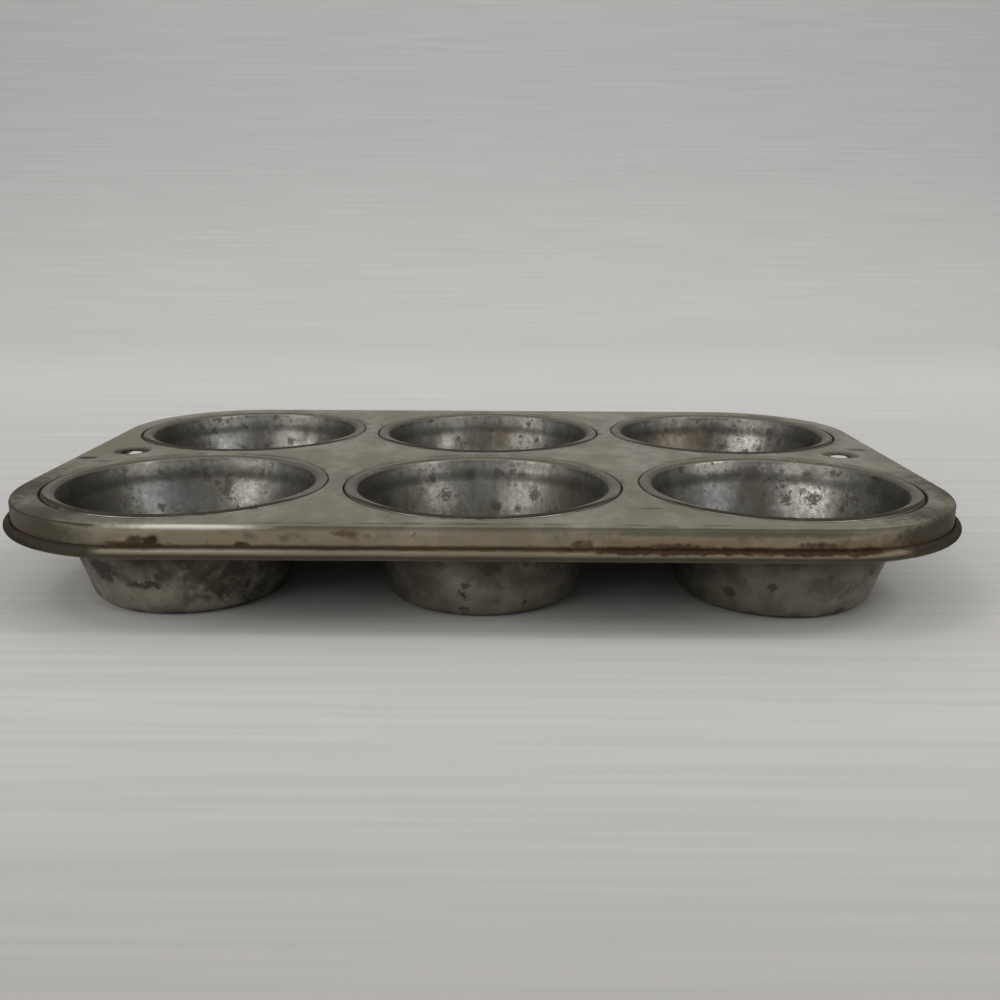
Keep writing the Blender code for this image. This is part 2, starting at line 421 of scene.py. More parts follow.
class Effects:
    """The shader node groups that the finishes share, each built once.

    Every group reads a place in millimetres and gives one mask or value.
    """

    def __init__(self) -> None:
        """Builds all the groups."""
        self.mottle = self._group("Mottle", self._wire_mottle, {
            "Stretch": EVEN, "Scale": 0.1, "Detail": 3.0, "Low": 0.45, "High": 0.6})
        self.specks = self._group("Specks", self._wire_specks, {
            "Scale": 0.3, "Size": 0.3, "Share": 0.4})
        self.mark = self._group("Placed mark", self._wire_mark, {
            "Centre": NOWHERE, "Radii": EVEN, "Ragged": 0.4, "Grain": 0.5, "Strength": 1.0})
        self.ring = self._group("Ring mark", self._wire_ring, {
            "Centre": NOWHERE, "Radius": 2.0, "Width": 0.6, "Strength": 1.0})
        self.band = self._group("Height band", self._wire_band, {
            "Height": 0.0, "Below": 1.0, "Above": 1.0, "Ragged": 0.0, "Grain": 0.1})
        self.cup_radius = self._group(
            "Radius from the nearest cup", self._wire_cup_radius, {"Pitch": PITCH})
        self.cup_front = self._group(
            "Front of the nearest cup", self._wire_cup_front, {"Pitch": PITCH})

    @staticmethod
    def _group(
        name: str, wire: Callable[[Wiring, dict[str, Socket]], Socket], inputs: dict[str, object]
    ) -> bpy.types.NodeTree:
        """Makes a node group with a place, further named inputs and one output.

        Args:
            name: The group's name.
            wire: Wires the inside and gives the socket that goes out.
            inputs: The further inputs' names and their starting values.

        Returns:
            The node group.
        """
        tree = bpy.data.node_groups.new(name, "ShaderNodeTree")
        for label, value in ({"Place": NOWHERE} | inputs).items():
            kind = "NodeSocketVector" if isinstance(value, tuple) else "NodeSocketFloat"
            socket = tree.interface.new_socket(label, in_out="INPUT", socket_type=kind)
            socket.default_value = value
        tree.interface.new_socket("Mask", in_out="OUTPUT", socket_type="NodeSocketFloat")
        w = Wiring(tree)
        source = w.node("NodeGroupInput")
        given = {label: source.outputs[label] for label in ("Place", *inputs)}
        w.node("NodeGroupOutput", {0: wire(w, given)})
        return tree

    @staticmethod
    def _wire_mottle(w: Wiring, given: dict[str, Socket]) -> Socket:
        """Soft blotches, stretched along an axis where Stretch says so."""
        place = w.vector("MULTIPLY", given["Place"], given["Stretch"])
        return w.eased(w.noise(place, given["Scale"], given["Detail"]), given["Low"], given["High"])

    @staticmethod
    def _wire_specks(w: Wiring, given: dict[str, Socket]) -> Socket:
        """Small ragged spots of mixed sizes, in only a share of the cells.

        Args:
            w: The tree's wiring.
            given: The group's inputs by name.

        Returns:
            The mask, from 0 to 1.
        """
        wobble = w.node("ShaderNodeTexNoise", {
            "Vector": given["Place"], "Scale": 0.8, "Detail": 4.0})
        shift = w.vector("SUBTRACT", wobble.outputs["Color"], (0.5, 0.5, 0.5))
        place = w.vector("ADD", given["Place"], w.vector("MULTIPLY", shift, (3.0, 3.0, 3.0)))
        cells = w.node("ShaderNodeTexVoronoi", {"Vector": place, "Scale": given["Scale"]})
        chance = w.node("ShaderNodeSeparateColor", {0: cells.outputs["Color"]}).outputs
        size = w.times(given["Size"], chance["Green"])
        spot = w.eased(cells.outputs["Distance"], size, w.times(size, 0.55))
        return w.times(spot, w.maths("LESS_THAN", chance["Red"], given["Share"]))

    @staticmethod
    def _rough(w: Wiring, given: dict[str, Socket]) -> Socket:
        """What makes an edge ragged, to either side of 0."""
        return w.times(
            w.minus(w.noise(given["Place"], given["Grain"], 3.0), 0.5), given["Ragged"])

    @classmethod
    def _wire_mark(cls, w: Wiring, given: dict[str, Socket]) -> Socket:
        """One stain with a place and a size of its own and a ragged, soft edge.

        Args:
            w: The tree's wiring.
            given: The group's inputs by name.

        Returns:
            The mask, from 0 to 1.
        """
        away = w.vector("SUBTRACT", given["Place"], given["Centre"])
        far = w.vector("LENGTH", w.vector("DIVIDE", away, given["Radii"]))
        return w.times(w.eased(w.plus(far, cls._rough(w, given)), 1.0, 0.35), given["Strength"])

    @staticmethod
    def _wire_ring(w: Wiring, given: dict[str, Socket]) -> Socket:
        """A thin round stain with a clear middle.

        Args:
            w: The tree's wiring.
            given: The group's inputs by name.

        Returns:
            The mask, from 0 to 1.
        """
        far = w.vector("LENGTH", w.vector("SUBTRACT", given["Place"], given["Centre"]))
        off = w.size(w.minus(far, given["Radius"]))
        rough = w.times(w.noise(given["Place"], 0.8), given["Width"])
        return w.times(w.eased(w.plus(off, rough), given["Width"], 0.0), given["Strength"])

    @classmethod
    def _wire_band(cls, w: Wiring, given: dict[str, Socket]) -> Socket:
        """A level band that fades over Below under its height and over Above over it.

        Args:
            w: The tree's wiring.
            given: The group's inputs by name.

        Returns:
            The mask, from 0 to 1.
        """
        level = w.plus(w.axis(given["Place"], "Z"), cls._rough(w, given))
        over = w.minus(level, given["Height"])
        rise = w.eased(over, w.times(given["Below"], -1.0), 0.0)
        return w.times(rise, w.eased(over, given["Above"], 0.0))

    @staticmethod
    def _from_cup(w: Wiring, given: dict[str, Socket]) -> Socket:
        """The place in plan, measured from the axis of the cup that it belongs to.

        Args:
            w: The tree's wiring.
            given: The group's inputs by name.

        Returns:
            The place, with its height set to 0.
        """
        x = w.axis(given["Place"], "X")
        y = w.axis(given["Place"], "Y")
        column = w.maths("ROUND", w.maths("DIVIDE", x, given["Pitch"]))
        column = w.most(w.maths("MINIMUM", column, 1.0), -1.0)
        row = w.minus(w.maths("GREATER_THAN", y, 0.0), 0.5)
        return w.node("ShaderNodeCombineXYZ", {
            0: w.minus(x, w.times(column, given["Pitch"])),
            1: w.minus(y, w.times(row, given["Pitch"]))}).outputs[0]

    @classmethod
    def _wire_cup_radius(cls, w: Wiring, given: dict[str, Socket]) -> Socket:
        """How far a place is from the axis of the cup that it belongs to."""
        return w.vector("LENGTH", cls._from_cup(w, given))

    @classmethod
    def _wire_cup_front(cls, w: Wiring, given: dict[str, Socket]) -> Socket:
        """1 at the front of a cup, 0 at its sides and -1 at its back."""
        return w.times(w.axis(w.vector("NORMALIZE", cls._from_cup(w, given)), "Y"), -1.0)


# Stains that have a place of their own, and placed painted shade and highlights


class Stain(Enum):
    """What a placed mark is made of."""

    RUST = "rust"
    SOOT = "baked-on grease"
    BARE = "bright bare tin"
    HAZE = "bluish heat haze"
    SPOT = "dark pitted spot"
    FILM = "brown baked film"


@dataclass(frozen=True)
class Mark:
    """One stain on the metal, or a patch of painted shade or highlight, in millimetres.

    Attributes:
        centre: Its middle.
        radii: Its half sizes along X, Y and Z.
        strength: How strongly it shows, from 0 to 1.
        ragged: How uneven its edge is.
        grain: How fine the unevenness is.
    """

    centre: Place
    radii: Place
    strength: float = 1.0
    ragged: float = 1.2
    grain: float = 0.5


@dataclass(frozen=True)
class Ring:
    """A round stain with a clear middle, in millimetres.

    Attributes:
        centre: Its middle.
        radius: The radius of its dark line.
        strength: How strongly it shows, from 0 to 1.
    """

    centre: Place
    radius: float
    strength: float = 0.8


FRAME_MARKS = {
    Stain.SOOT: (
        Mark((-84.2, FRONT, 27.0), (3.2, 3.0, 1.8), 0.85),
        Mark((-80.2, FRONT, 26.9), (3.2, 3.0, 2.0), 1.0, 1.0),
        Mark((-84.0, FRONT, 25.4), (13.0, 3.0, 2.0), 0.95, 0.8),
        # The next two are painted shade along the front shoulder, dimming its reflection.
        Mark((72.0, FRONT, 29.5), (46.0, 3.0, 1.1), 0.55, 0.6),
        Mark((-20.0, -87.6, 30.3), (44.0, 3.0, 1.1), 0.22, 0.8),
        Mark((22.0, -90.0, 24.4), (54.0, 3.0, 2.4), 0.4, 1.2, 0.25),
        Mark((-112.0, -78.0, 27.0), (30.0, 24.0, 9.0), 0.78, 0.25),
        Mark((-128.0, -56.0, 27.0), (22.0, 46.0, 9.0), 0.78, 0.6),
        Mark((-122.0, -66.0, 23.2), (42.0, 44.0, 3.8), 1.0, 0.5),
        Mark((118.0, -78.0, 26.5), (31.0, 25.0, 9.0), 0.82, 0.6),
        Mark((132.0, -50.0, 27.0), (16.0, 46.0, 9.0), 0.8, 0.6),
        Mark((124.0, -62.0, 23.2), (34.0, 40.0, 3.8), 1.0, 0.5),
        Mark((62.0, -90.0, 25.5), (64.0, 3.0, 1.2), 0.8, 0.8),
        # Painted shade along the front shoulder, dimming its reflection.
        Mark((64.0, FRONT, 29.5), (54.0, 3.0, 1.5), 0.5, 0.8),
        # Painted shade on the underside of the bead at the right.
        Mark((62.0, -90.0, 23.4), (66.0, 3.0, 1.6), 0.35, 0.8),
        Mark((-125.5, -10.0, PLATE), (4.5, 2.5, 1.0), 0.9),
        Mark((-118.4, -15.0, PLATE), (6.0, 1.0, 1.0), 0.6),
        Mark((123.0, 10.0, PLATE), (5.0, 3.5, 1.0), 0.6),
        Mark((-115.4, 2.0, 30.9), (7.6, 7.6, 1.2), 0.7, 0.7),
        Mark((115.4, 2.0, 30.9), (7.6, 7.6, 1.2), 0.6, 0.7),
        Mark((44.0, -70.0, PLATE), (4.0, 1.0, 1.0), 0.55),
        Mark((46.0, -87.4, 30.5), (5.0, 2.0, 0.8), 0.6),
        Mark((-100.0, -84.0, PLATE), (30.0, 5.0, 1.0), 0.3),
        Mark((-42.0, -40.0, PLATE), (5.0, 20.0, 1.0), 0.25),
        Mark((-3.0, -86.0, PLATE), (26.0, 2.2, 1.0), 0.3),
    ),
    Stain.RUST: (
        Mark((-88.5, FRONT, 25.8), (4.0, 3.0, 1.3), 0.45),
        Mark((-83.5, FRONT, 26.3), (8.0, 3.0, 2.3), 0.26),
        Mark((-33.0, FRONT, 29.0), (5.0, 3.0, 1.3), 0.4),
        Mark((-58.0, FRONT, 26.0), (3.0, 3.0, 1.2), 0.6, 1.4),
        Mark((-10.0, FRONT, 25.5), (22.0, 3.0, 0.8), 0.35),
        Mark((25.5, FRONT, 26.3), (4.5, 3.0, 2.2), 0.5),
        Mark((48.0, FRONT, 26.0), (12.0, 3.0, 1.4), 0.55),
        Mark((84.0, FRONT, 26.2), (9.0, 3.0, 2.0), 0.55),
    ),
    Stain.BARE: (
        # The first is a painted highlight along the front shoulder at the left. The second is
        # rubbed tin on the bead's top at the left, which also paints its highlight brighter.
        Mark((-70.0, FRONT, 30.3), (24.0, 4.0, 1.1), 0.9, 0.3),
        Mark((-68.0, -90.0, 25.0), (34.0, 3.0, 0.9), 0.2, 0.6),
        Mark((56.0, -83.0, PLATE), (66.0, 7.0, 1.0), 0.15, 0.6),
    ),
}

CUP_MARKS = {
    Stain.HAZE: (
        Mark((-100.0, -14.0, 20.0), (15.0, 9.0, 7.0), 0.7, 1.6),
        Mark((72.0, -11.0, 20.0), (14.0, 9.0, 7.0), 0.7, 1.6),
        Mark((-103.0, 70.0, 22.0), (14.0, 9.0, 8.0), 0.7),
    ),
    Stain.BARE: (
        # Bare tin placed where the walls and necks show highlights: partly rubbed tin, partly
        # painted highlights.
        Mark((-76.0, -9.0, 19.5), (8.0, 7.0, 6.5), 0.6, 1.1),
        Mark((-76.0, -7.0, 29.2), (9.0, 5.0, 1.6), 0.3),
        Mark((-104.0, -15.0, 29.2), (7.0, 6.0, 1.5), 0.3),
        Mark((-13.5, -12.6, 19.5), (7.0, 7.0, 7.0), 0.5, 1.1),
        Mark((10.1, -11.4, 18.5), (7.0, 7.0, 6.5), 0.48, 1.0),
        Mark((-18.5, -12.0, 29.5), (6.0, 5.0, 1.5), 0.6, 0.9),
        Mark((71.0, -9.5, 29.2), (15.0, 8.0, 2.6), 1.0, 0.5),
        Mark((94.0, -8.0, 28.4), (11.0, 6.0, 2.2), 0.8),
        Mark((58.0, -20.0, 20.0), (9.0, 14.0, 10.0), 0.3),
        Mark((114.0, -27.0, 22.0), (10.0, 9.0, 7.0), 0.3, 1.5),
        Mark((100.0, -13.0, 19.0), (12.0, 9.0, 7.5), 0.8, 1.0),
        Mark((100.0, 72.5, 21.0), (7.5, 7.0, 6.5), 0.5),
        Mark((-78.5, 75.0, 21.0), (7.0, 7.0, 7.0), 0.28),
        Mark((-103.0, 71.0, 20.0), (5.0, 6.0, 4.0), 0.4),
        Mark((-17.5, 72.5, 21.0), (5.0, 6.0, 4.5), 0.6, 1.0),
        Mark((12.0, 74.0, 21.0), (6.5, 6.0, 6.0), 0.32),
    ),
    Stain.SPOT: (
        Mark((-82.0, -8.5, 21.5), (1.9, 3.0, 5.5), 0.85, 2.4, 1.0),
        Mark((-94.0, -10.0, 22.0), (3.5, 4.0, 6.0), 0.35, 1.6, 0.3),
        Mark((-16.4, -11.5, 24.9), (1.6, 1.6, 1.6), 0.9),
        Mark((-12.5, -12.0, 20.5), (2.6, 2.6, 2.8), 0.8, 2.4, 1.2),
        Mark((-3.0, -9.0, 25.0), (1.2, 1.2, 1.2), 0.8),
        Mark((4.5, -10.5, 23.0), (1.2, 1.6, 2.4), 0.8, 2.0, 1.0),
        Mark((3.8, -10.9, 16.2), (2.4, 2.4, 2.0), 0.9, 1.4, 0.8),
        Mark((10.5, -12.0, 15.8), (1.6, 1.6, 1.4), 0.9, 2.0, 1.2),
        Mark((15.5, -13.0, 20.5), (2.2, 2.2, 2.6), 0.8, 2.2, 1.2),
        Mark((95.2, -12.0, 19.2), (2.2, 2.6, 2.4), 0.9, 2.3, 1.2),
        Mark((103.0, -14.4, 20.0), (3.0, 3.0, 3.0), 0.9, 2.4, 1.2),
        Mark((99.5, -13.0, 22.5), (1.6, 2.0, 1.4), 0.85, 1.8, 1.0),
        Mark((102.0, -10.5, 27.5), (2.6, 3.0, 2.0), 0.8, 2.2, 1.0),
        Mark((113.0, -22.5, 22.0), (4.0, 4.0, 3.0), 0.8, 2.4, 0.9),
        Mark((84.0, -8.0, 27.0), (7.0, 4.0, 2.6), 0.6, 2.2, 0.6),
        Mark((85.7, 74.7, 19.9), (2.6, 2.6, 1.6), 0.5, 1.6),
        Mark((92.2, 74.5, 19.4), (3.2, 3.0, 1.6), 0.85, 1.8, 1.0),
        Mark((93.0, 74.0, 25.5), (5.0, 4.0, 3.0), 0.6, 2.0, 0.6),
        # These two broad marks only darken parts of the back left cup's wall.
        Mark((-90.5, 74.0, 22.0), (6.0, 6.0, 6.0), 0.4, 1.2, 0.3),
        Mark((-59.0, 67.0, 21.0), (11.0, 10.0, 9.0), 0.45, 1.4),
        Mark((-22.5, 69.5, 29.7), (1.9, 2.2, 1.0), 0.95, 0.8),
        Mark((-100.4, -68.2, 13.5), (5.5, 5.0, 4.2), 0.95, 2.2, 0.8),
        Mark((-74.0, -70.0, 12.0), (8.0, 6.0, 6.0), 0.45, 1.8, 0.4),
        Mark((2.5, -73.5, 15.5), (3.4, 3.0, 3.2), 0.9, 1.6, 0.8),
        Mark((-10.5, -71.0, 16.5), (3.0, 3.0, 2.6), 0.6, 1.6, 0.8),
        Mark((12.0, -72.0, 16.5), (2.0, 3.0, 1.6), 0.7, 1.6, 0.8),
        Mark((-5.0, -72.0, 7.0), (2.4, 3.0, 2.4), 0.9, 2.0, 1.0),
        Mark((21.0, -67.0, 13.5), (3.6, 4.0, 3.2), 0.6, 1.8, 0.8),
        Mark((-88.0, -71.0, 9.8), (7.0, 4.0, 1.6), 0.85, 2.4, 0.8),
        Mark((-67.0, -65.5, 7.0), (5.5, 5.0, 4.0), 0.75, 2.0, 0.7),
        Mark((108.0, -70.0, 14.0), (6.0, 5.0, 4.0), 0.5, 2.0, 0.8),
    ),
    Stain.FILM: (
        Mark((25.0, -17.0, 23.0), (13.0, 12.0, 7.0), 0.45, 1.4),
        Mark((86.0, -8.5, 20.5), (5.5, 5.0, 8.0), 0.5, 1.4),
        Mark((76.0, 73.0, 22.0), (20.0, 12.0, 9.0), 0.7, 1.3),
        Mark((2.0, 75.0, 22.0), (16.0, 8.0, 8.0), 0.45, 1.4),
    ),
}

# Painted shade on the cups' outsides, on the sides that face neighbouring cups and on the top of
# the front left cup under the frame. Paler rubs low on the fronts of two cups also paint in the
# floor's reflection.
CUP_PAINTED_SHADE_AND_LIGHT = {
    Stain.SOOT: (
        *(Mark((x, y, 14.0), (33.0, 46.0, 26.0), 1.0, 0.6, 0.2)
          for x in (-42.0, 42.0) for y in (-42.0, 42.0)),
        Mark((-88.0, -70.0, 21.5), (30.0, 9.0, 6.0), 0.5, 1.6, 0.4),
    ),
    Stain.BARE: (
        Mark((-87.0, -70.0, 5.5), (13.0, 7.0, 5.0), 0.5, 1.4, 0.4),
        Mark((-6.0, -72.0, 9.0), (9.0, 6.0, 5.0), 0.25, 1.4, 0.4),
    ),
}

CUP_RINGS = (
    Ring((-10.7, 73.2, 20.8), 2.6, 0.8),
    Ring((-112.2, -20.2, 28.6), 1.6, 0.7),
    Ring((85.7, 74.9, 20.3), 2.6, 0.8),
)


# Finishes


class Surface(Wiring):
    """A material in the making: its shader, its place in millimetres and the shared effects."""

    def __init__(self, name: str, effects: Effects) -> None:
        """Starts a material.

        Args:
            name: The material's name.
            effects: The shared node groups.
        """
        self.material = bpy.data.materials.new(name)
        self.material.use_nodes = True
        super().__init__(self.material.node_tree)
        self.effects = effects
        where = self.node("ShaderNodeTexCoord").outputs["Object"]
        self.place = self.vector("MULTIPLY", where, (1.0 / MM, 1.0 / MM, 1.0 / MM))

    def effect(self, tree: bpy.types.NodeTree, inputs: dict[str, object] | None = None) -> Socket:
        """The result of a shared effect at the place on the surface."""
        fed = {"Place": self.place} | (inputs or {})
        return self.node("ShaderNodeGroup", fed, node_tree=tree).outputs[0]

    def mottle(
        self, scale: float, low: float = 0.45, high: float = 0.6, detail: float = 3.0,
        stretch: Place = EVEN
    ) -> Socket:
        """Soft blotches.

        Args:
            scale: How fine they are.
            low: The noise up to which there are none.
            high: The noise from which they are full.
            detail: How frayed they are.
            stretch: How finely they repeat along each axis.

        Returns:
            Their mask.
        """
        return self.effect(self.effects.mottle, {
            "Stretch": stretch, "Scale": scale, "Detail": detail, "Low": low, "High": high})

    def band(
        self, height: object, below: object, above: object, ragged: float = 0.0,
        grain: float = 0.1
    ) -> Socket:
        """A level band.

        Args:
            height: Its height in millimetres.
            below: Over how far it fades downwards.
            above: Over how far it fades upwards.
            ragged: How uneven it is.
            grain: How fine the unevenness is.

        Returns:
            Its mask.
        """
        return self.effect(self.effects.band, {
            "Height": height, "Below": below, "Above": above, "Ragged": ragged, "Grain": grain})

    def specks(self, scale: float, size: float, share: float = 0.4) -> Socket:
        """Small spots, in a share of the cells that the scale gives."""
        return self.effect(self.effects.specks, {"Scale": scale, "Size": size, "Share": share})

    def placed(self, tree: bpy.types.NodeTree, marks: Iterable[Mark | Ring]) -> Socket:
        """The mask of placed marks or rings, whose sizes feed inputs of the same names."""
        return self.most(*(
            self.effect(tree, {name.title(): value for name, value in vars(mark).items()})
            for mark in marks))

    def marks(self, marks: Iterable[Mark]) -> Socket:
        """The mask of placed marks."""
        return self.placed(self.effects.mark, marks)

    def texture(self, scale: float, detail: float, stretch: Place = EVEN) -> Socket:
        """Plain noise over the surface, for its relief."""
        return self.noise(self.vector("MULTIPLY", self.place, stretch), scale, detail)

    def finish(
        self, look: dict[str, object], height: Socket | None = None, depth: float = 1.0
    ) -> Material:
        """Feeds the shader.

        Args:
            look: What feeds each of its inputs.
            height: The relief, or nothing for a smooth surface.
            depth: How deep the relief's unit is, in millimetres.

        Returns:
            The material.
        """
        if height is not None:
            look = look | {"Normal": self.node("ShaderNodeBump", {
                "Height": height, "Distance": MM * depth, "Strength": 1.0}).outputs["Normal"]}
        shader = self.tree.nodes["Principled BSDF"]
        for name, value in look.items():
            self.feed(shader.inputs[name], value)
        return self.material


@dataclass(frozen=True)
class FrameTin:
    """Old satin tinplate of the frame, dull, streaked and rusted along its edges, with painted
    shade along its shoulder, under its bead and beside its recesses, and a painted highlight on its
    shoulder.

    Attributes:
        clean: The colour where the tin is clean.
        dull: The colour where it has dulled.
        brown: The colour where it has browned.
        olive: The colour of a thin film of old oil.
        skirt: The browner colour of the skirt.
        bare: The colour where it is rubbed bare, also used for a painted highlight on the shoulder
            and the bead at the left.
        rust: The colour of thick rust.
        bloom: The colour of the thin rust around it.
        grease: The colour of baked-on grease, also used for painted shade along the shoulder, under
            the bead and beside the recesses.
        shoulder: The height of the rounded shoulder, in millimetres.
    """

    name: str = "frame_tin"
    clean: Colour = (0.46, 0.43, 0.352)
    dull: Colour = (0.27, 0.257, 0.208)
    brown: Colour = (0.26, 0.222, 0.152)
    olive: Colour = (0.25, 0.246, 0.18)
    skirt: Colour = (0.36, 0.29, 0.20)
    bare: Colour = (0.55, 0.52, 0.46)
    rust: Colour = (0.034, 0.020, 0.010)
    bloom: Colour = (0.21, 0.12, 0.058)
    grease: Colour = (0.031, 0.027, 0.018)
    shoulder: float = 30.5

    def build(self, effects: Effects) -> Material:
        """Builds the material.

        Args:
            effects: The shared effects.

        Returns:
            The material.
        """
        w = Surface(self.name, effects)
        dulling = w.mottle(0.07, 0.4, 0.6, 6.0, (0.8, 0.5, 1.0))
        browning = w.mottle(0.05, 0.48, 0.64, 6.0, (0.9, 0.5, 1.0))
        streaks = w.mottle(0.8, 0.3, 0.75, 5.0, (0.12, 1.0, 1.0))
        film = w.mottle(0.28, 0.42, 0.6, 7.0, (1.0, 0.6, 1.0))
        grain = w.mottle(1.5, 0.35, 0.65, 5.0, (0.8, 0.8, 1.0))
        low = w.times(
            w.maths("MINIMUM", w.times(w.band(24.0, 40.0, 6.6, 1.2), 3.0), 0.85),
            w.between(w.eased(w.axis(w.place, "X"), -80.0, -100.0), 1.0, 0.35))
        # Rubbed tin, with a painted highlight on the shoulder and the bead at the left.
        bare = w.marks(FRAME_MARKS[Stain.BARE])
        # Grease together with painted shade, cleared where the tin is bare.
        grease = w.times(self._grease(w), w.minus(1.0, bare))
        rust, bloom = self._rust(w)
        bloom = w.most(bloom, w.times(w.eased(rust, 0.0, 0.7), 0.6))
        crust = w.times(rust, w.between(w.noise(w.place, 0.8, 6.0), 1.4, 0.5))
        colour = w.layered(w.blend, self.clean, (
            (w.times(dulling, 0.8), self.dull),
            (low, self.skirt),
            (w.times(browning, 0.6), self.brown),
            (w.times(streaks, 0.4), self.brown),
            (w.times(film, 0.5), self.olive),
            (w.times(grain, 0.22), self.brown),
            (bare, self.bare),
            (grease, self.grease),
            (bloom, self.bloom),
            (w.eased(crust, 0.05, 0.75), self.rust)))
        rounded = w.band(self.shoulder, 1.2, 0.55)
        roughness = w.layered(w.between, w.between(dulling, 0.36, 0.5), (
            (bare, 0.3), (rounded, 0.6), (w.most(grease, rust), 0.75)))
        waves = w.texture(0.07, 1.0)
        lines = w.texture(2.0, 4.0, (0.15, 1.0, 1.0))
        height = w.plus(w.times(waves, 0.14), w.times(lines, 0.012), w.times(rust, -0.04))
        return w.finish({
            "Base Color": colour, "Roughness": roughness, "Specular IOR Level": 0.15,
            "Metallic": w.between(rust, 0.95, 0.1)}, height)

    def _grease(self, w: Surface) -> Socket:
        """The mask of baked-on grease and painted shade: marks, seams with painted shade at their
        near side, painted shade along the shoulder and under the bead, the groove and specks.

        Args:
            w: The material's wiring.

        Returns:
            The mask, from 0 to 1.
        """
        x = w.axis(w.place, "X")
        radius = w.effect(w.effects.cup_radius)
        front = w.effect(w.effects.cup_front)
        ends = w.eased(w.size(w.plus(x, -6.0)), 97.5, 102.5)
        # How strongly painted shade dims the shoulder's reflection: least at the left, where its
        # painted highlight stays, more to the right and most round the left corner.
        shoulder_shade = w.between(w.eased(x, -75.0, -45.0), 0.42, 0.72)
        shoulder_shade = w.between(w.eased(x, -92.0, -95.5), shoulder_shade, 0.9)
        # A dark seam round each recess, wider and darker at its near side as painted shade.
        width = w.between(w.eased(front, 0.0, 1.0), 0.4, 1.3)
        off = w.size(w.minus(radius, w.between(front, 39.4, 39.85)))
        seam_and_near_shade = w.times(w.eased(off, width, w.times(width, 0.35)),
                       w.between(w.eased(front, -0.5, 0.2), 0.2, 1.0))
        halo = w.times(w.eased(radius, 43.0, 39.5), w.mottle(0.12, 0.42, 0.62, 4.0), 0.4)
        # Painted shade along the shoulder, dimming its reflection.
        shoulder = w.times(w.band(self.shoulder, 1.4, 0.6, 0.3, 0.15), shoulder_shade)
        groove = w.times(w.band(
            w.between(ends, 25.3, 24.7), w.between(ends, 0.8, 1.4), w.between(ends, 1.1, 2.2),
            0.8, 0.2), 0.9)
        # Painted shade on the bead's underside, darker than its top because of how light falls on
        # it.
        under = w.times(w.band(23.5, 3.0, 1.3, 0.4), 0.78)
        bead = w.times(w.band(25.2, 9.0, 0.5, 0.3), w.between(ends, 0.5, 0.95))
        smudges = w.times(
            w.band(28.0, 2.6, 3.2), w.mottle(0.2, 0.55, 0.75, 5.0, (0.6, 1.0, 0.8)), 0.65)
        specks = w.times(w.specks(0.3, 0.22, 0.3), 0.55)
        return w.most(w.marks(FRAME_MARKS[Stain.SOOT]), seam_and_near_shade, halo, shoulder, groove, under,
                      bead, smudges, specks)

    @staticmethod
    def _rust(w: Surface) -> tuple[Socket, Socket]:
        """The masks of thick rust along the groove and of the thin bloom over it.

        Args:
            w: The material's wiring.

        Returns:
            The mask of the thick rust and the mask of the bloom.
        """
        x = w.axis(w.place, "X")
        right = w.times(w.eased(x, -5.0, 45.0), w.eased(x, 106.0, 92.0))
        patches = w.mottle(0.22, 0.36, 0.6, 5.0, (0.5, 0.4, 1.0))
        line = w.times(
            w.band(w.between(right, 25.5, 25.0), 1.2, 1.9, 1.6, 0.3),
            w.between(patches, 0.6, 1.0), w.between(right, 0.2, 1.0))
        bloom = w.times(
            w.band(26.4, 1.6, 2.8, 2.4, 0.12),
            w.between(patches, 0.25, 1.0), w.between(right, 0.12, 0.6))
        return w.most(w.marks(FRAME_MARKS[Stain.RUST]), line), bloom


@dataclass(frozen=True)
class UndersideTin:
    """The underside of the frame and of the seats, darkened by the oven.

    Attributes:
        brown: The colour of the even heat stain.
        dark: The colour of its darker blotches.
    """

    name: str = "underside_tin"
    brown: Colour = (0.19, 0.165, 0.125)
    dark: Colour = (0.075, 0.062, 0.045)

    def build(self, effects: Effects) -> Material:
        """Builds the material.

        Args:
            effects: The shared effects.

        Returns:
            The material.
        """
        w = Surface(self.name, effects)
        share = w.most(w.mottle(0.07, detail=5.0), w.specks(0.3, 0.35))
        return w.finish({
            "Base Color": w.blend(share, self.brown, self.dark),
            "Roughness": w.between(share, 0.45, 0.65), "Metallic": 0.85},
            w.texture(0.5, 4.0), 0.03)


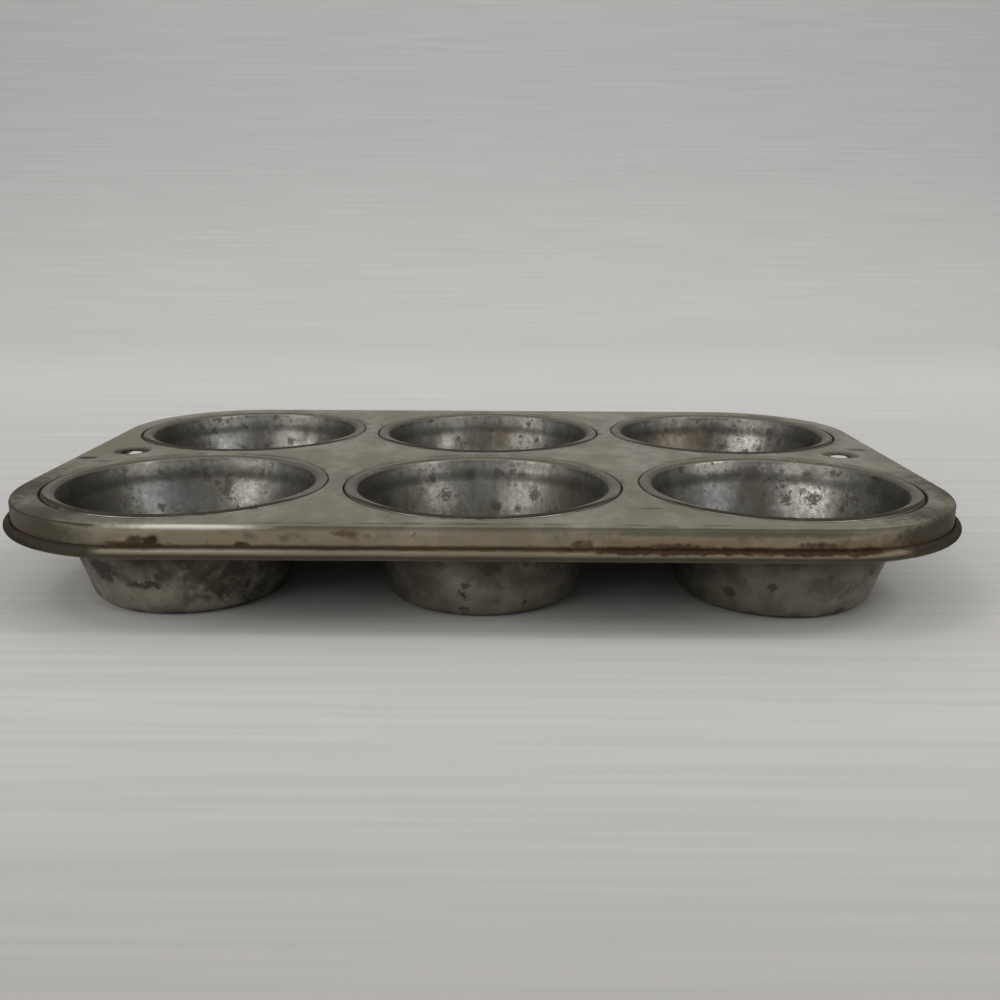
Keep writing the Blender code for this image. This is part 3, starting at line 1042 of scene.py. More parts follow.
@dataclass(frozen=True)
class CupInsideTin:
    """Bright tin inside a cup, stained by baking, with the lip as dull as the frame, painted
    highlights on the necks and walls, and painted shade at the ends, below the neck, on the far
    flange and at the near seam.

    Attributes:
        bright: The colour of clean tin.
        grey: The colour of tin gone grey.
        shade: The colour of its darkest haze, also used for painted shade at the ends of the wall
            and below the neck.
        olive: The colour of thin baked-on oil.
        lip: The colour of the flange and the lip.
        band: The colour of the grease baked on around the lip, also used for painted shade on the
            far flange and on the near lip.
        blue: The colour of heat haze.
        bare: The colour of bare, rubbed tin, also used for painted highlights on the walls and
            necks.
        neck: The colour of a painted highlight along the neck, brighter than the wall.
        spot: The colour of pitted spots and rings, and of the dark seam round the flange with
            painted shade at its near side.
        film: The colour of the brown film that baking leaves.
    """

    name: str = "cup_inside_tin"
    bright: Colour = (0.225, 0.216, 0.195)
    grey: Colour = (0.13, 0.125, 0.11)
    shade: Colour = (0.066, 0.062, 0.050)
    olive: Colour = (0.105, 0.102, 0.078)
    lip: Colour = (0.36, 0.34, 0.285)
    band: Colour = (0.145, 0.135, 0.105)
    blue: Colour = (0.15, 0.158, 0.168)
    bare: Colour = (0.40, 0.385, 0.35)
    neck: Colour = (0.235, 0.228, 0.205)
    spot: Colour = (0.045, 0.035, 0.025)
    film: Colour = (0.135, 0.106, 0.073)

    def build(self, effects: Effects) -> Material:
        """Builds the material.

        Args:
            effects: The shared effects.

        Returns:
            The material.
        """
        w = Surface(self.name, effects)
        clouds = w.mottle(0.075, 0.36, 0.62, 4.0, (1.0, 1.0, 0.7))
        shadows = w.mottle(0.12, 0.52, 0.72, 5.0, (1.0, 1.0, 0.6))
        drips = w.mottle(0.3, 0.38, 0.66, 6.0, (1.0, 1.0, 0.35))
        streaks = w.mottle(0.3, 0.35, 0.7, 5.0, (0.3, 1.0, 1.0))
        patina = w.mottle(0.55, 0.4, 0.62, 7.0)
        crackle = w.mottle(1.5, 0.38, 0.62, 7.0)
        front = w.effect(effects.cup_front)
        radius = w.effect(effects.cup_radius)
        # Painted shade at the left and right ends of each cup's wall, lighter in the middle and
        # right-hand cups.
        sides = w.times(
            w.eased(w.size(front), 0.8, 0.15), w.between(drips, 0.85, 0.45),
            w.between(w.eased(w.axis(w.place, "X"), -60.0, -20.0), 1.0, 0.7))
        haze = w.times(w.marks(CUP_MARKS[Stain.HAZE]), w.between(drips, 1.0, 0.4))
        film = w.times(w.marks(CUP_MARKS[Stain.FILM]), w.between(clouds, 1.0, 0.5))
        # Rubbed tin and painted highlights.
        bare = w.times(w.marks(CUP_MARKS[Stain.BARE]), w.between(crackle, 1.0, 0.45))
        neck = w.band(29.1, 2.2, 1.6, 1.3, 0.12)
        hollow = w.band(25.2, 2.4, 2.4, 1.6, 0.15)
        # A painted highlight round the neck, at the front and back of each cup.
        ring = w.times(neck, w.between(patina, 0.8, 0.3), w.eased(w.size(front), 0.2, 0.8))
        spots = self._spots(w)
        lip = w.eased(w.band(32.0, 1.8, 1.0, 0.3), 0.0, 0.2)
        flank = w.times(lip, w.eased(w.size(front), 0.85, 0.3))
        # Painted shade on the flange and lip at the far side of each cup and on the lip's inner
        # edge at the near side, over grease round the lip.
        far = w.eased(front, 0.1, -0.55)
        rim = w.between(w.eased(radius, 38.4, 36.8), 0.1, 0.9)
        edge = w.times(lip, w.between(streaks, 0.95, 0.8),
                       w.between(far, w.eased(radius, 37.5, 36.4), rim))
        # A dark seam round the flange, darker at its near side as painted shade.
        start = w.between(w.eased(front, 0.2, 0.9), 38.8, 36.3)
        seam_and_near_shade = w.times(w.eased(radius, start, w.plus(start, 0.5)), w.between(far, 0.9, 0.18))
        colour = w.layered(w.blend, self.bright, (
            (clouds, self.grey),
            (w.times(shadows, 0.85), self.shade),
            (w.times(drips, 0.55), self.olive),
            (w.times(patina, 0.4), self.olive),
            (sides, self.shade),
            (haze, self.blue),
            (film, self.film),
            (ring, self.neck),
            # A faint painted shade in the band below the neck.
            (w.times(hollow, w.between(drips, 0.0, 0.06)), self.shade),
            (bare, self.bare),
            (w.times(spots, 0.9), self.spot),
            (lip, w.blend(streaks, self.lip, FrameTin.dull)),
            (w.times(flank, 0.6), self.band),
            (w.times(edge, w.between(far, 0.7, 1.0)), self.band),
            (seam_and_near_shade, self.spot)))
        roughness = w.layered(w.between, w.between(clouds, 0.36, 0.5), (
            (w.most(neck, hollow), 0.52),
            (w.most(spots, lip, w.times(patina, 0.5)), 0.55),
            (w.most(w.times(edge, far), seam_and_near_shade), 0.85)))
        waves = w.texture(0.16, 2.0, (1.0, 1.0, 0.35))
        lumps = w.texture(0.38, 3.0, (1.0, 1.0, 0.6))
        pits = w.texture(0.9, 4.0)
        height = w.plus(w.times(waves, 0.22), w.times(lumps, 0.06), w.times(pits, 0.025),
                        w.times(spots, -0.03))
        return w.finish({
            "Base Color": colour, "Roughness": roughness,
            "Metallic": w.between(spots, 1.0, 0.5)}, height)

    @staticmethod
    def _spots(w: Surface) -> Socket:
        """The mask of pitted spots: placed ones, rings and clustered specks of two sizes.

        Args:
            w: The material's wiring.

        Returns:
            The mask, from 0 to 1.
        """
        specks = w.times(w.specks(0.28, 0.6, 0.55), w.mottle(0.06, 0.36, 0.52), 0.8)
        grit = w.times(w.specks(0.75, 0.6, 0.5), w.mottle(0.09, 0.42, 0.56, 4.0), 0.8)
        rings = w.placed(w.effects.ring, CUP_RINGS)
        return w.most(w.marks(CUP_MARKS[Stain.SPOT]), rings, specks, grit)


@dataclass(frozen=True)
class CupOutsideTin:
    """The outside of a cup, dulled by the oven, with darker spots and paler rubs, painted shade
    under the frame, at the foot and between the cups, and a painted reflection of the floor low on
    the front.

    Attributes:
        grey: The colour of the even dulling.
        dark: The colour of dark blotches.
        pale: The colour where it is rubbed, also used for a painted reflection of the floor low on
            the front.
        spot: The colour of burnt spots, also used for painted shade under the frame, at the foot
            and between the cups.
    """

    name: str = "cup_outside_tin"
    grey: Colour = (0.30, 0.277, 0.222)
    dark: Colour = (0.115, 0.106, 0.08)
    pale: Colour = (0.46, 0.43, 0.35)
    spot: Colour = (0.035, 0.028, 0.020)

    def build(self, effects: Effects) -> Material:
        """Builds the material.

        Args:
            effects: The shared effects.

        Returns:
            The material.
        """
        w = Surface(self.name, effects)
        blotches = w.mottle(0.13, 0.4, 0.62, 7.0)
        rubs = w.mottle(0.2, 0.5, 0.62, 8.0)
        left = w.eased(w.axis(w.place, "X"), -30.0, -60.0)
        # Painted shade on the upper wall, under the frame.
        top_shade = w.band(22.0, 17.0, 9.0, 9.0, 0.08)
        # A painted contact shadow round the foot.
        foot = w.band(0.3, 5.0, 1.5, 0.4)
        # Burnt spots and specks, with the painted shade between the cups.
        spots = w.most(
            w.marks(CUP_MARKS[Stain.SPOT]), w.marks(CUP_PAINTED_SHADE_AND_LIGHT[Stain.SOOT]),
            w.times(w.specks(0.2, 0.5), 0.8))
        colour = w.layered(w.blend, self.grey, (
            (w.times(blotches, w.between(left, 0.6, 1.0)), self.dark),
            (w.times(rubs, w.between(left, 0.25, 0.5)), self.pale),
            (w.times(top_shade, 0.92), self.spot),
            (w.marks(CUP_PAINTED_SHADE_AND_LIGHT[Stain.BARE]), self.pale),
            (w.times(foot, 0.8), self.spot),
            (spots, self.spot)))
        waves = w.texture(0.14, 2.0)
        pits = w.texture(1.1, 4.0)
        height = w.plus(w.times(waves, 0.25), w.times(pits, 0.02))
        return w.finish({
            "Base Color": colour,
            "Roughness": w.between(spots, w.between(blotches, 0.38, 0.5), 0.6),
            "Metallic": w.between(spots, 0.9, 0.4)}, height)


@dataclass(frozen=True)
class WireSteel:
    """Plain drawn wire, blotched with rust, with a fine uneven surface."""

    name: str = "wire_steel"
    grey: Colour = (0.30, 0.29, 0.27)
    rust: Colour = (0.10, 0.05, 0.025)

    def build(self, effects: Effects) -> Material:
        """Builds the material.

        Args:
            effects: The shared effects.

        Returns:
            The material.
        """
        w = Surface(self.name, effects)
        rust = w.mottle(0.12, detail=4.0)
        return w.finish({
            "Base Color": w.blend(rust, self.grey, self.rust),
            "Roughness": w.between(rust, 0.4, 0.75), "Metallic": 0.9},
            w.texture(1.5, 3.0), 0.02)


# Geometry trees


class Shaping(Wiring):
    """A geometry tree in the making, with named inputs."""

    def __init__(self, name: str, inputs: dict[str, str]) -> None:
        """Starts a tree.

        Args:
            name: The tree's name.
            inputs: The kind of each named input.
        """
        super().__init__(bpy.data.node_groups.new(name, "GeometryNodeTree"))
        sockets = [("INPUT", label, kind) for label, kind in inputs.items()]
        for way, label, kind in (*sockets, ("OUTPUT", "Geometry", "Geometry")):
            self.tree.interface.new_socket(label, in_out=way, socket_type=f"NodeSocket{kind}")
        self.given = self.node("NodeGroupInput").outputs

    def swept(self, path: Socket, section: Socket) -> Socket:
        """A section swept along a path."""
        return self.node("GeometryNodeCurveToMesh", {
            "Curve": path, "Profile Curve": section}).outputs[0]

    def circle(self, sides: int, radius: object) -> Socket:
        """A round curve."""
        return self.node("GeometryNodeCurvePrimitiveCircle", {
            "Resolution": sides, "Radius": radius}).outputs[0]

    def finish(
        self, geometry: Socket, offset: Socket, material: Material
    ) -> bpy.types.GeometryNodeTree:
        """Ends the tree in a move, smooth shading, Realize Instances and Set Material.

        Args:
            geometry: The shape.
            offset: How far each of its points moves.
            material: The material that it takes.

        Returns:
            The tree.
        """
        steps = {"SetPosition": {"Offset": offset}, "SetShadeSmooth": {},
                 "RealizeInstances": {}, "SetMaterial": {"Material": material}}
        for kind, inputs in steps.items():
            node = self.node(f"GeometryNode{kind}", {"Geometry": geometry} | inputs)
            geometry = node.outputs[0]
        self.node("NodeGroupOutput", {0: geometry})
        return self.tree


def set_inputs(
    obj: bpy.types.Object, tree: bpy.types.GeometryNodeTree, values: dict[str, object]
) -> None:
    """Gives an object a Geometry Nodes modifier with its inputs set.

    Args:
        obj: The object that takes the modifier.
        tree: The modifier's node tree.
        values: The value of each named input.
    """
    modifier = obj.modifiers.new(tree.name, "NODES")
    modifier.node_group = tree
    for item in tree.interface.items_tree:
        if item.item_type == "SOCKET" and item.in_out == "INPUT" and item.name in values:
            modifier[item.identifier] = values[item.name]


# The pan


@dataclass
class CupLayout:
    """Where the cups are, in metres.

    Attributes:
        pitch: The distance between neighbouring cups' axes.
    """

    pitch: float = PITCH * MM

    def places(self) -> dict[str, Point]:
        """The centre of each cup by its node's name.

        Returns:
            The centres in plan, in metres.
        """
        return {
            f"cup_{row}_{column}": (x * self.pitch, y * self.pitch)
            for row, y in (("front", -0.5), ("back", 0.5))
            for column, x in (("left", -1), ("middle", 0), ("right", 1))
        }


@dataclass
class PanFrame:
    """The frame sheet: plate, cup seats, hanging holes, shoulder, skirt and curl, in metres.

    Attributes:
        half_length: From the middle to the skirt's outer face, along X.
        half_width: The same along Y.
        corner: The radius of the skirt's outer face at the corners.
        top: The height of the plate's upper face.
        sheet: The sheet's thickness.
        shoulder: The outer radius of the bend from the plate to the skirt.
        wire_drop: How far the wire's middle is below the plate's upper face.
        wire_out: How far the wire's middle is outside the skirt's outer face.
        curl: The radius of the curl's middle line.
        curl_gap: The gap between the skirt and the curl's free edge.
        recess: The inner radius of a cup's recess.
        seat_depth: How far a seat's upper face is below the plate's.
        seat_hole: The radius of a seat's hole.
        roll_width: How wide the plate rolls down towards a recess.
        roll_drop: How far it rolls down.
        roll_bend: The middle line's radius where it starts to roll.
        crease: The inner radius of the sharp bends beside a seat.
        flat: The width of flat sheet kept beside each bend.
        hole: The radius of a hanging hole.
        hole_x: The distance of a hanging hole's middle from the pan's, along X.
        hole_y: The same along Y.
        dish: The radius at which the plate bends down towards a hanging hole.
        dish_floor: The outer radius of the flat ring around the hole.
        dish_depth: How deep that ring lies.
        dish_bend: The radius of the bends on both its sides.
        curl_bend: The radius of the bend from the skirt out into the curl.
        wave: Half of how far the thin skirt waves inwards.
        wave_reach: How far below the shoulder the wave has its full depth.
        wave_rate: How closely the waves follow each other, to a metre.
        wave_lean: What share of the wave goes along X near the pan's ends.
        weld: How close the edges of two stretches of sheet are before they are joined.
        outer: How far outside the skirt's outer face the sheet shows on both sides.
        sharp: The angle, in degrees, past which an edge stays sharp.
        round_sides: How many flat sides a recess has.
        hole_sides: How many flat sides a hanging hole has.
        corner_steps: How many straight steps a corner has.
        straight_step: About how long a step is on the straight sides.
        layout: Where the cups are.
    """

    half_length: float = 130.3 * MM
    half_width: float = -FRONT * MM
    corner: float = 43.4 * MM
    top: float = PLATE * MM
    sheet: float = 0.5 * MM
    shoulder: float = 1.4 * MM
    wire_drop: float = 7.35 * MM
    wire_out: float = 0.55 * MM
    curl: float = 1.25 * MM
    curl_gap: float = 0.35 * MM
    recess: float = 39.4 * MM
    seat_depth: float = 0.95 * MM
    seat_hole: float = 36.8 * MM
    roll_width: float = 0.9 * MM
    roll_drop: float = 0.18 * MM
    roll_bend: float = 2.0 * MM
    crease: float = 0.02 * MM
    flat: float = 0.4 * MM
    hole: float = 3.5 * MM
    hole_x: float = 115.4 * MM
    hole_y: float = 2.0 * MM
    dish: float = 6.2 * MM
    dish_floor: float = 5.2 * MM
    dish_depth: float = 0.5 * MM
    dish_bend: float = 0.7 * MM
    curl_bend: float = 1.2 * MM
    wave: float = 0.09 * MM
    wave_reach: float = 3.0 * MM
    wave_rate: float = 24.0
    wave_lean: float = 0.4
    weld: float = 0.003 * MM
    outer: float = 0.1 * MM
    sharp: float = 50.0
    round_sides: int = 144
    hole_sides: int = 48
    corner_steps: int = 28
    straight_step: float = 5.0 * MM
    layout: CupLayout = field(default_factory=CupLayout)

    def outline(self, offset: float) -> list[Point]:
        """The frame's outline in plan, moved outwards from the skirt's outer face.

        Args:
            offset: How far outwards, less than 0 for inwards.

        Returns:
            The closed outline, with points along its straight sides too.
        """
        radius = self.corner + offset
        length = self.half_length + offset - radius
        width = self.half_width + offset - radius
        corners = ((length, width, 0), (-length, width, 90), (-length, -width, 180),
                   (length, -width, 270))
        points: list[Point] = []
        for x, y, start in corners:
            bend = arc((x, y), radius, start, start + 90, self.corner_steps)
            if points:
                points += self._straight(points[-1], bend[0])
            points += bend
        return points + self._straight(points[-1], points[0])

    def _straight(self, first: Point, last: Point) -> list[Point]:
        """The points between two ends of a straight side, without the ends."""
        steps = max(1, round(math.dist(first, last) / self.straight_step))
        return split(first, last, steps)[:-1]

    @property
    def level(self) -> float:
        """The height of the plate's middle."""
        return self.top - self.sheet / 2

    def holes(self) -> list[Point]:
        """The middles of the two hanging holes."""
        return [(side * self.hole_x, self.hole_y) for side in (-1, 1)]

    def rim_line(self) -> list[Point]:
        """The middle line of shoulder, skirt and curl: outwards from the plate, and height.

        Returns:
            The points of the line.
        """
        level = self.level
        bend = self.shoulder - self.sheet / 2
        wire_x = self.shoulder + self.wire_out
        wire_z = self.top - self.wire_drop
        drop = filleted([
            (-self.flat, level, 0.0), (0.0, level, 0.0), (bend, level, bend),
            (bend, wire_z + self.curl, self.curl_bend), (wire_x - self.curl, wire_z, 0.0)],
            steps=10)
        reach = self.curl + self.sheet / 2
        last = 360.0 + math.degrees(math.acos((self.curl_gap - self.wire_out) / reach))
        return drop + arc((wire_x, wire_z), self.curl, 180.0, last, 30)[1:]

    def seat_line(self) -> list[Point]:
        """The middle line from the plate down to a seat and in to its hole: radius, height.

        Returns:
            The points of the line.
        """
        level = self.level
        low = level - self.seat_depth
        wall = self.recess + self.sheet / 2
        bend = self.sheet / 2 + self.crease
        return filleted([
            (wall + self.roll_width + self.flat, level, 0.0),
            (wall + self.roll_width, level, self.roll_bend),
            (wall, level - self.roll_drop, bend), (wall, low, bend),
            (wall - bend - self.flat, low, 0.0), (self.seat_hole, low, 0.0)], steps=5)

    def dish_line(self) -> list[Point]:
        """The middle line of the shallow dish round a hanging hole: radius, height.

        Returns:
            The points of the line.
        """
        level = self.level
        low = level - self.dish_depth
        return filleted([
            (self.dish + 2 * self.flat, level, 0.0), (self.dish, level, self.dish_bend),
            (self.dish_floor, low, self.dish_bend), (self.hole, low, 0.0)], steps=6)

    def rim(self) -> bpy.types.Mesh:
        """The shoulder, skirt and curl, swept round the plate's edge.

        Returns:
            The open surface.
        """
        section = flat_curve("rim_section", [[(-x, z) for x, z in self.rim_line()]], False)
        path = flat_curve("rim_path", [self.outline(-self.shoulder)], True)
        path.data.bevel_mode = "OBJECT"
        path.data.bevel_object = section
        mesh = evaluated_mesh(path)
        bpy.data.objects.remove(section)
        return mesh

    def plate(self) -> bpy.types.Mesh:
        """The flat plate, open at each recess and hanging hole.

        Returns:
            The open surface.
        """
        seat_edge = self.seat_line()[0][0]
        dish_edge = self.dish_line()[0][0]
        loops = [offset_line(self.outline(-self.shoulder), self.flat, closed=True)]
        loops += [circle(c, seat_edge, self.round_sides) for c in self.layout.places().values()]
        loops += [circle(c, dish_edge, self.hole_sides) for c in self.holes()]
        plate = flat_curve("plate", loops, True)
        plate.data.fill_mode = "FRONT"
        plate.location.z = self.level
        return evaluated_mesh(plate)

    def outside(self, place: Vector) -> float:
        """How far a place is outside the skirt's outer face, less than 0 inside it.

        Args:
            place: The place to measure.

        Returns:
            The distance in plan.
        """
        length = max(abs(place.x) - (self.half_length - self.corner), 0.0)
        width = max(abs(place.y) - (self.half_width - self.corner), 0.0)
        return math.hypot(length, width) - self.corner

    def wavy(self, place: Vector) -> Vector:
        """A place moved a little inwards, as a thin skirt waves between its corners.

        Args:
            place: A place on the frame.

        Returns:
            The moved place.
        """
        below = self.top - self.shoulder - place.z
        if below < 0.0:
            return place
        depth = self.wave * min(1.0, below / self.wave_reach)
        wave = noise.noise(Vector((place.x, place.y, 0.0)) * self.wave_rate) + 1.0
        inwards = Vector((-place.x * self.wave_lean, -place.y, 0.0)).normalized()
        return place + inwards * (wave * depth)

    def build(self, finish: Material, underside: Material) -> bpy.types.Object:
        """Builds the frame.

        Args:
            finish: The material of the upper and outer side.
            underside: The material of the hidden side.

        Returns:
            The finished object.
        """
        meshes = [self.plate(), self.rim()]
        meshes += [turned(self.seat_line(), c, self.round_sides)
                   for c in self.layout.places().values()]
        meshes += [turned(self.dish_line(), c, self.hole_sides) for c in self.holes()]
        merged = bmesh.new()
        for mesh in meshes:
            merged.from_mesh(mesh)
        faced_outwards(merged, self.weld)
        flat = max(merged.faces, key=lambda face: face.calc_area())
        if flat.normal.z < 0.0:
            bmesh.ops.reverse_faces(merged, faces=merged.faces)
        loose = sum(1 for edge in merged.edges if edge.is_boundary)
        LOG.info("frame sheet has %d open edges", loose)
        for vertex in merged.verts:
            vertex.co = self.wavy(vertex.co)
        sheet = bpy.data.meshes.new("frame_sheet")
        merged.to_mesh(sheet)
        merged.free()
        sheet.shade_smooth()
        obj = bpy.data.objects.new("frame_sheet", sheet)
        sheet.materials.append(finish)
        sheet.materials.append(underside)
        solidify = obj.modifiers.new("Sheet", "SOLIDIFY")
        solidify.thickness = self.sheet
        solidify.offset = 0.0
        solidify.use_even_offset = True
        solidify.use_quality_normals = True
        solidify.material_offset = 1
        solid = evaluated_mesh(obj)
        for face in solid.polygons:
            if self.outside(face.center) > self.outer:
                face.material_index = 0
        solid.set_sharp_from_angle(angle=math.radians(self.sharp))
        return linked("dressed_frame", solid)


@dataclass
class EdgeWire:
    """The stiffening wire in the curl, in metres: a rounded loop swept by Geometry Nodes.

    Attributes:
        radius: The wire's radius.
        sides: How many flat sides its section has.
        corner_steps: How many straight steps a corner has.
    """

    radius: float = 0.7 * MM
    sides: int = 20
    corner_steps: int = 24

    def tree(self, finish: Material) -> bpy.types.GeometryNodeTree:
        """The node tree that sweeps a round section along a rounded rectangle.

        Args:
            finish: The wire's material.

        Returns:
            The tree, with the loop's and the wire's sizes as inputs.
        """
        w = Shaping("Wire loop", dict.fromkeys(
            ("Length", "Width", "Corner Radius", "Wire Radius", "Height"), "Float"))
        loop = w.node("GeometryNodeCurvePrimitiveQuadrilateral", {
            "Width": w.given["Length"], "Height": w.given["Width"]})
        corners = w.node("GeometryNodeFilletCurve", {
            "Curve": loop.outputs[0], "Count": self.corner_steps,
            "Radius": w.given["Corner Radius"]}, mode="POLY")
        sweep = w.swept(corners.outputs[0], w.circle(self.sides, w.given["Wire Radius"]))
        lift = w.node("ShaderNodeCombineXYZ", {"Z": w.given["Height"]})
        return w.finish(sweep, lift.outputs[0], finish)

    def build(self, pan: PanFrame, finish: Material) -> bpy.types.Object:
        """Builds the wire inside the frame's curl.

        Args:
            pan: The frame that holds the wire.
            finish: The wire's material.

        Returns:
            The wire's object.
        """
        obj = bpy.data.objects.new("wire_loop", bpy.data.meshes.new("wire_loop"))
        out = pan.wire_out
        set_inputs(obj, self.tree(finish), {
            "Length": 2 * (pan.half_length + out), "Width": 2 * (pan.half_width + out),
            "Corner Radius": pan.corner + out, "Wire Radius": self.radius,
            "Height": pan.top - pan.wire_drop})
        mesh = closed_outwards(evaluated_mesh(obj))
        return linked("dressed_wire", mesh)


@dataclass
class Cup:
    """One drawn cup, in metres: a closed profile turned by Geometry Nodes.

    Attributes:
        name: The name of the node that it stands for.
        centre: The cup's axis in plan.
        seed: What makes its dents its own.
        top: The height of the flange's upper face.
        sheet: The sheet's thickness.
        flange: The radius of the flange's edge.
        mouth: The inner radius of the mouth.
        flange_fall: How far the flange's edge lies below its crown.
        dome_width: Over how far the flange falls to its edge.
        dome_bend: The middle line's radius where it starts to fall.
        lip: The outer radius of the bend from the flange into the neck.
        lock_drop: How far the locking bead's crest is below the top.
        lock_up: How far the bead reaches above its crest.
        lock_down: How far it reaches below its crest.
        lock_reach: How far it stands out from the neck.
        lock_bends: The middle line's radii above the bead, at its crest and below it.
        neck_drop: How deep the neck is.
        neck_bends: The same on the outside, at the neck's end and at the wall's top.
        step: How far the wall's top is below the neck's end.
        ease: How far the inside of the neck's end is outside the wall's top.
        ease_up: How far that place is above the neck's end.
        ease_bends: The same on the inside, there and at the wall's top.
        wall_top: The wall's outer radius at its top.
        foot: The wall's outer radius where it would meet the floor.
        foot_bend: The outer radius of the bend between them.
        dent: Half of how deep the dents are.
        dent_scale: How closely the dents follow each other.
        dent_rise: How much more slowly they change with height than across.
        dent_low: Between what heights over the floor they fade in.
        dent_high: How far below the neck they have their full depth.
        weld: How close two points of the turned profile are before they are joined.
        path: The radius of the circle that the profile is turned along.
        sides: How many flat sides the turn has.
        longest: The longest step along the profile.
        out_weight: How much more facing outwards counts than facing up, to tell the two
            sides apart.
    """

    name: str
    centre: Point
    seed: float
    top: float = PLATE * MM
    sheet: float = 0.45 * MM
    flange: float = 39.1 * MM
    mouth: float = 35.8 * MM
    flange_fall: float = 0.2 * MM
    dome_width: float = 1.2 * MM
    dome_bend: float = 3.0 * MM
    lip: float = 1.35 * MM
    lock_drop: float = 3.0 * MM
    lock_up: float = 0.9 * MM
    lock_down: float = 0.9 * MM
    lock_reach: float = 0.5 * MM
    lock_bends: Place = (0.4 * MM, 0.7 * MM, 0.5 * MM)
    neck_drop: float = 5.2 * MM
    neck_bends: Point = (0.8 * MM, 2.4 * MM)
    step: float = 1.6 * MM
    ease: float = 0.08 * MM
    ease_up: float = 0.7 * MM
    ease_bends: Point = (10.0 * MM, 8.0 * MM)
    wall_top: float = 34.8 * MM
    foot: float = 26.7 * MM
    foot_bend: float = 4.6 * MM
    dent: float = 0.10 * MM
    dent_scale: float = 55.0
    dent_rise: float = 0.45
    dent_low: Point = (1.0 * MM, 6.0 * MM)
    dent_high: float = 5.0 * MM
    weld: float = 0.002 * MM
    path: float = 10.0 * MM
    sides: int = 160
    longest: float = 1.2 * MM
    out_weight: float = 2.0

    def middle_line(self, neck: Sequence[Place], bend: float) -> list[Point]:
        """A middle line of the cup's sheet from the flange's edge to the axis.

        Args:
            neck: The corners between the lip and the top of the wall, with their radii.
            bend: The radius of the bend at the top of the wall.

        Returns:
            The line's points, as radius and height.
        """
        half = self.sheet / 2
        level = self.top - half
        wall_low = self.top - self.neck_drop - self.step
        lean = math.atan2(self.wall_top - self.foot, wall_low)
        inset = half / math.cos(lean)
        foot = self.foot - inset + half * math.tan(lean)
        return filleted([
            (self.flange - half, level - self.flange_fall, 0.0),
            (self.flange - self.dome_width, level, self.dome_bend),
            (self.mouth + half, level, self.lip - half), *neck,
            (self.wall_top - inset, wall_low, bend), (foot, half, self.foot_bend - half),
            (0.0, half, 0.0)], steps=8)

    def profile(self) -> list[Point]:
        """The closed section: out along the underside, round the flange's edge, in along the top.

        The underside has the locking bead; the lip's inside runs smoothly into the wall.

        Returns:
            The points of the section, each its radius and height.
        """
        half = self.sheet / 2
        neck = self.mouth + half
        lock = self.top - self.lock_drop
        neck_end = self.top - self.neck_drop
        above, crest, below = self.lock_bends
        outer = self.middle_line([
            (neck, lock + self.lock_up, above), (neck + self.lock_reach, lock, crest),
            (neck, lock - self.lock_down, below), (neck, neck_end, self.neck_bends[0])],
            self.neck_bends[1])
        inner = self.middle_line([
            (self.wall_top + self.ease, neck_end + self.ease_up, self.ease_bends[0])],
            self.ease_bends[1])
        edge = arc(outer[0], half, -90.0, 90.0, 8)
        under = offset_line(outer, half)
        over = offset_line(inner, -half)
        return subdivided(under[:0:-1] + edge + over[1:], self.longest)

    def tree(self, inside: Material) -> bpy.types.GeometryNodeTree:
        """The node tree that turns the profile and presses shallow dents into its wall.

        Args:
            inside: The material of the cup's inside.

        Returns:
            The tree, with the turn, the place and the dents as inputs.
        """
        w = Shaping("Drawn cup", {
            "Geometry": "Geometry", "Path Radius": "Float", "Dent Depth": "Float",
            "Dent Scale": "Float", "Seed": "Float", "Wall Top": "Float", "Centre": "Vector"})
        section = w.node("GeometryNodeMeshToCurve", {"Mesh": w.given["Geometry"]}).outputs[0]
        turn = w.swept(w.circle(self.sides, w.given["Path Radius"]), section)
        weld = w.node("GeometryNodeMergeByDistance", {"Geometry": turn, "Distance": self.weld})
        here = w.node("GeometryNodeInputPosition").outputs[0]
        swell = w.node("ShaderNodeTexNoise", {
            "Vector": w.vector("MULTIPLY", here, (1.0, 1.0, self.dent_rise)), "W": w.given["Seed"],
            "Scale": w.given["Dent Scale"], "Detail": 1.0}, noise_dimensions="4D").outputs[0]
        height = w.axis(here, "Z")
        wall_top = w.given["Wall Top"]
        depth = w.times(
            w.minus(swell, 0.5), w.given["Dent Depth"], w.eased(height, *self.dent_low),
            w.eased(height, wall_top, w.minus(wall_top, self.dent_high)))
        outwards = w.vector("NORMALIZE", w.vector("MULTIPLY", here, (1.0, 1.0, 0.0)))
        push = w.node("ShaderNodeVectorMath", {0: outwards, "Scale": depth}, operation="SCALE")
        move = w.vector("ADD", push.outputs[0], w.given["Centre"])
        return w.finish(weld.outputs[0], move, inside)

    def build(
        self, tree: bpy.types.GeometryNodeTree, outside: Material
    ) -> bpy.types.Object:
        """Builds the cup.

        Args:
            tree: The tree that turns every cup.
            outside: The material of the cup's outer and lower side.

        Returns:
            The finished object.
        """
        obj = line_object(self.name, [(r - self.path, -z, 0.0) for r, z in self.profile()])
        set_inputs(obj, tree, {
            "Path Radius": self.path, "Dent Depth": 2 * self.dent, "Dent Scale": self.dent_scale,
            "Seed": self.seed, "Wall Top": self.top - self.neck_drop,
            "Centre": (*self.centre, 0.0)})
        mesh = closed_outwards(evaluated_mesh(obj))
        mesh.materials.append(outside)
        for face in mesh.polygons:
            radial = Vector((face.center.x - self.centre[0], face.center.y - self.centre[1]))
            out = radial.normalized().dot(face.normal.xy) if radial.length > WELD else 0.0
            face.material_index = 0 if face.normal.z > self.out_weight * out else 1
        return linked(f"dressed_{self.name}", mesh)


# The studio


